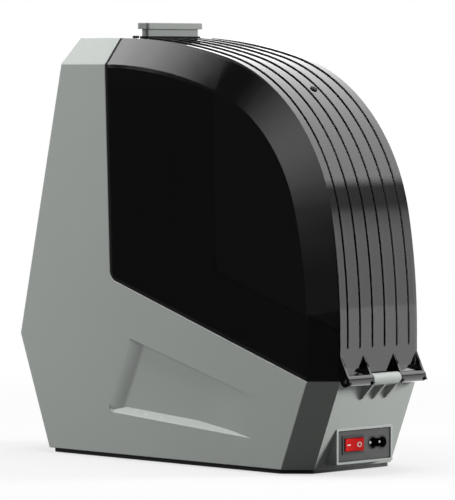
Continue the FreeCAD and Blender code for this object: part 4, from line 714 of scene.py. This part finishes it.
def on_seam(edge):
    return on_side(edge) and all(corner.co.y > SEAM_FRONT and corner.co.z > SEAM_BOTTOM for corner in edge.verts)


def long_outer(edge):
    return edge.is_convex and edge.calc_length() > LONG_EDGE and not in_grip(edge) and not on_side(edge)


def mark_rim_and_ledges(work):
    """Mark the faces of the rim, for its painted highlight, and of the grips' ledges."""
    for face in work.faces:
        middle = face.calc_center_median()
        at_rim = abs(middle.x) > RIM_SIDE and middle.y > RIM_FRONT and middle.z > RIM_BOTTOM
        if at_rim and RIM_LEAST_UP < face.normal.z < RIM_MOST_UP:
            face.material_index = RIM_INDEX
        elif face.normal.z > LEDGE_LEAST_UP and in_grip(face):
            face.material_index = LEDGE_INDEX


counts = [round_edges(housing, 0.9, segments=4, least=38, chosen=on_seam, clamp=False),
          round_edges(housing, 0.5, segments=3, least=38, chosen=on_side, clamp=False),
          round_edges(housing, 0.3, segments=2, least=25, chosen=long_outer)]
mark_rim_and_ledges(housing)
housing_piece = place_piece(housing, "housing_dressed", "base", "housing_grey", smooth=30)
# The rim's finish paints a highlight line along it in a lighter colour.
housing_piece.data.materials.append(FINISH["rim_painted_highlight"])
housing_piece.data.materials.append(FINISH["polished_ledge"])
even_normals(housing_piece)
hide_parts(*HOUSING)
print("housing edges rounded:", counts)

# %% [markdown]
# ## Lid, handle and the other pieces
# The same rounding goes to everything that can be seen from outside, from below or with the lid open:
# moulded pieces have a few tenths of a millimetre at every edge, turned and cut ones a broken edge.

# %% The lid, the handle and the power panel
dress("lid_shell", 0.25)
dress("lid_handle", 0.3, finish=FINISH["handle_grey"])
dress("power_plate", 0.2)
dress("switch_rocker", 0.25)

# %% Smaller pieces
EDGE_RADIUS = {
    "display_lens": 0.2, "rubber_feet": 0.4, "base_plate": 0.3, "outlet_tube": 0.2, "switch_housing": 0.15,
    "inlet_socket": 0.12, "lid_plug": 0.15, "handle_gasket": 0.2, "roller_cradle_left": 0.3,
    "roller_cradle_right": 0.3, "chamber_floor": 0.25, "front_partition": 0.3, "humidity_sensor": 0.2,
    "fan_frame": 0.25, "heater_block": 0.15, "axle_front": 0.3, "axle_rear": 0.3, "hinge_pin": 0.2,
    "roller_front_left": 0.25, "roller_front_right": 0.25, "roller_rear_left": 0.25, "roller_rear_right": 0.25,
    "button_left": 0.15, "button_middle": 0.15, "button_right": 0.15,
}
for node, radius in EDGE_RADIUS.items():
    dress(node, radius)

# %% [markdown]
# ## Screws
# The plate under the box and the handle are held by pan-head screws with a cross recess for the
# driver. Two bars, laid across each other, are taken out of every head.

# %% Screws with a cross recess
CROSS_LENGTH, CROSS_WIDTH, CROSS_DEPTH = 3.2, 0.7, 1.6
BASE_SCREWS = [(x, y, 1.0) for x in (-42.8, 42.8) for y in (-80.0, 88.0)]
HANDLE_SCREWS = [(x, -50.8, 264.4) for x in (-15.0, 15.0)]


def add_block(work, place, *sides):
    """A block in a place given by a matrix, with its sides in millimetres."""
    size = Matrix.Diagonal(Vector(sides) * MM).to_4x4()
    bmesh.ops.create_cube(work, size=1.0, matrix=place @ size)


def bars(spots, *sides):
    """Blocks of one size in several places, in millimetres."""
    work = bmesh.new()
    for spot in spots:
        add_block(work, Matrix.Translation(Vector(spot) * MM), *sides)
    return work


def recess_screws(node, spots):
    cross = [bars(spots, CROSS_LENGTH, CROSS_WIDTH, CROSS_DEPTH), bars(spots, CROSS_WIDTH, CROSS_LENGTH, CROSS_DEPTH)]
    work = combined([merged(node), *cross], "DIFFERENCE")
    piece = place_piece(work, f"{node}_dressed", BODY[node], SLOT[node])
    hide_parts(node)
    print(node, "recessed heads:", len(spots))


recess_screws("base_screws", BASE_SCREWS)
recess_screws("handle_screws", HANDLE_SCREWS)

# %% [markdown]
# ## Printed marks
# The rocker carries the usual bar and ring for on and off, and the buttons plain arrows and a ring.
# On the real box they are printed, so each is a thin plate that lies on its face: a flat block, a spun ring or a cone
# with three sides and no taper.

# %% Print
FINISH["white_print"] = moulded("white_print", (0.72, 0.72, 0.7), 0.5, grain=0.1, per_metre=6000.0, drift=0.2)
PRINT_THICK = 0.1
RING_STEPS = 40


def print_ring(work, place, outer, inner):
    half = PRINT_THICK / 2
    spots = [(inner, -half), (outer, -half), (outer, half), (inner, half)]
    corners = [work.verts.new(place @ (Vector((out, 0, up)) * MM)) for out, up in spots]
    loop = [work.edges.new((corners[index - 1], corners[index])) for index in range(len(corners))]
    bmesh.ops.spin(work, geom=corners + loop, cent=place.translation, axis=place.to_3x3() @ Vector((0, 0, 1)),
                   angle=math.tau, steps=RING_STEPS, use_merge=True)


def print_arrow(work, place, size):
    bmesh.ops.create_cone(work, cap_ends=True, segments=3, radius1=size * MM, radius2=size * MM,
                          depth=PRINT_THICK * MM, matrix=place)


def place_print(work, name, body):
    bmesh.ops.recalc_face_normals(work, faces=work.faces[:])
    place_piece(work, name, body, "roller_nylon", FINISH["white_print"])


print("print is", PRINT_THICK, "mm thick")

# %% [markdown]
# ## Marks on the rocker
# The rocker's two pressing faces meet at a blunt angle, and at rest the rocker is tipped to one side.
# Each mark is built flat at the origin, and one matrix carries it to the middle of its face.

# %% Marks on the rocker
ROCKER_MIDDLE = Vector((10.1, 119.7, 18.0))
ROCKER_TIPPED = -8.0
FACE_ASIDE, FACE_OUT, FACE_TILT = 4.2, 1.038, 8.64
BAR_LENGTH, BAR_WIDTH = 3.2, 0.6
OFF_RING_OUTER, OFF_RING_INNER = 1.6, 1.05


def turned(degrees, axis):
    return Matrix.Rotation(math.radians(degrees), 4, axis)


def rocker_face(sign):
    """Middle of one pressing face of the rocker, with z out of the face."""
    rocker = Matrix.Translation(ROCKER_MIDDLE * MM) @ turned(ROCKER_TIPPED, "Z")
    aside = Matrix.Translation(Vector((sign * FACE_ASIDE, FACE_OUT, 0)) * MM)
    return rocker @ aside @ turned(sign * FACE_TILT, "Z") @ turned(-90, "X")


marks = bmesh.new()
add_block(marks, rocker_face(1), BAR_LENGTH, BAR_WIDTH, PRINT_THICK)
print_ring(marks, rocker_face(-1), OFF_RING_OUTER, OFF_RING_INNER)
place_print(marks, "rocker_marks", "switch_rocker")
print("rocker marked")

# %% [markdown]
# ## Marks on the buttons
# The front of the column leans back, and the three buttons sit in a row on it under the display. Axes
# across, up and out of that front carry each mark onto its cap: down, ring and up.

# %% Marks on the buttons
FRONT_LEAN = math.atan(0.2232)
ACROSS = Vector((1, 0, 0))
UP = Vector((0, math.sin(FRONT_LEAN), math.cos(FRONT_LEAN)))
OUT = Vector((0, -math.cos(FRONT_LEAN), math.sin(FRONT_LEAN)))
FRONT_AXES = Matrix((ACROSS, UP, OUT)).transposed().to_4x4()
DISPLAY_MIDDLE = Vector((0, -113.97, 196.0))
BELOW_DISPLAY, CAP_OUT, BUTTONS_APART = 40.0, 1.56, 22.0
ARROW_SIZE = 1.5
SET_RING_OUTER, SET_RING_INNER = 1.5, 1.0


def button_face(shift):
    """Middle of a button's cap, with y up the front and z out of it."""
    spot = DISPLAY_MIDDLE + ACROSS * shift - UP * BELOW_DISPLAY + OUT * CAP_OUT
    return Matrix.Translation(spot * MM) @ FRONT_AXES


for side, shift, turn in (("left", -BUTTONS_APART, -180), ("right", BUTTONS_APART, 0)):
    arrow = bmesh.new()
    print_arrow(arrow, button_face(shift) @ turned(turn, "Z"), ARROW_SIZE)
    place_print(arrow, f"button_{side}_mark", f"button_{side}")
ring = bmesh.new()
print_ring(ring, button_face(0.0), SET_RING_OUTER, SET_RING_INNER)
place_print(ring, "button_middle_mark", "button_middle")
print("buttons marked")
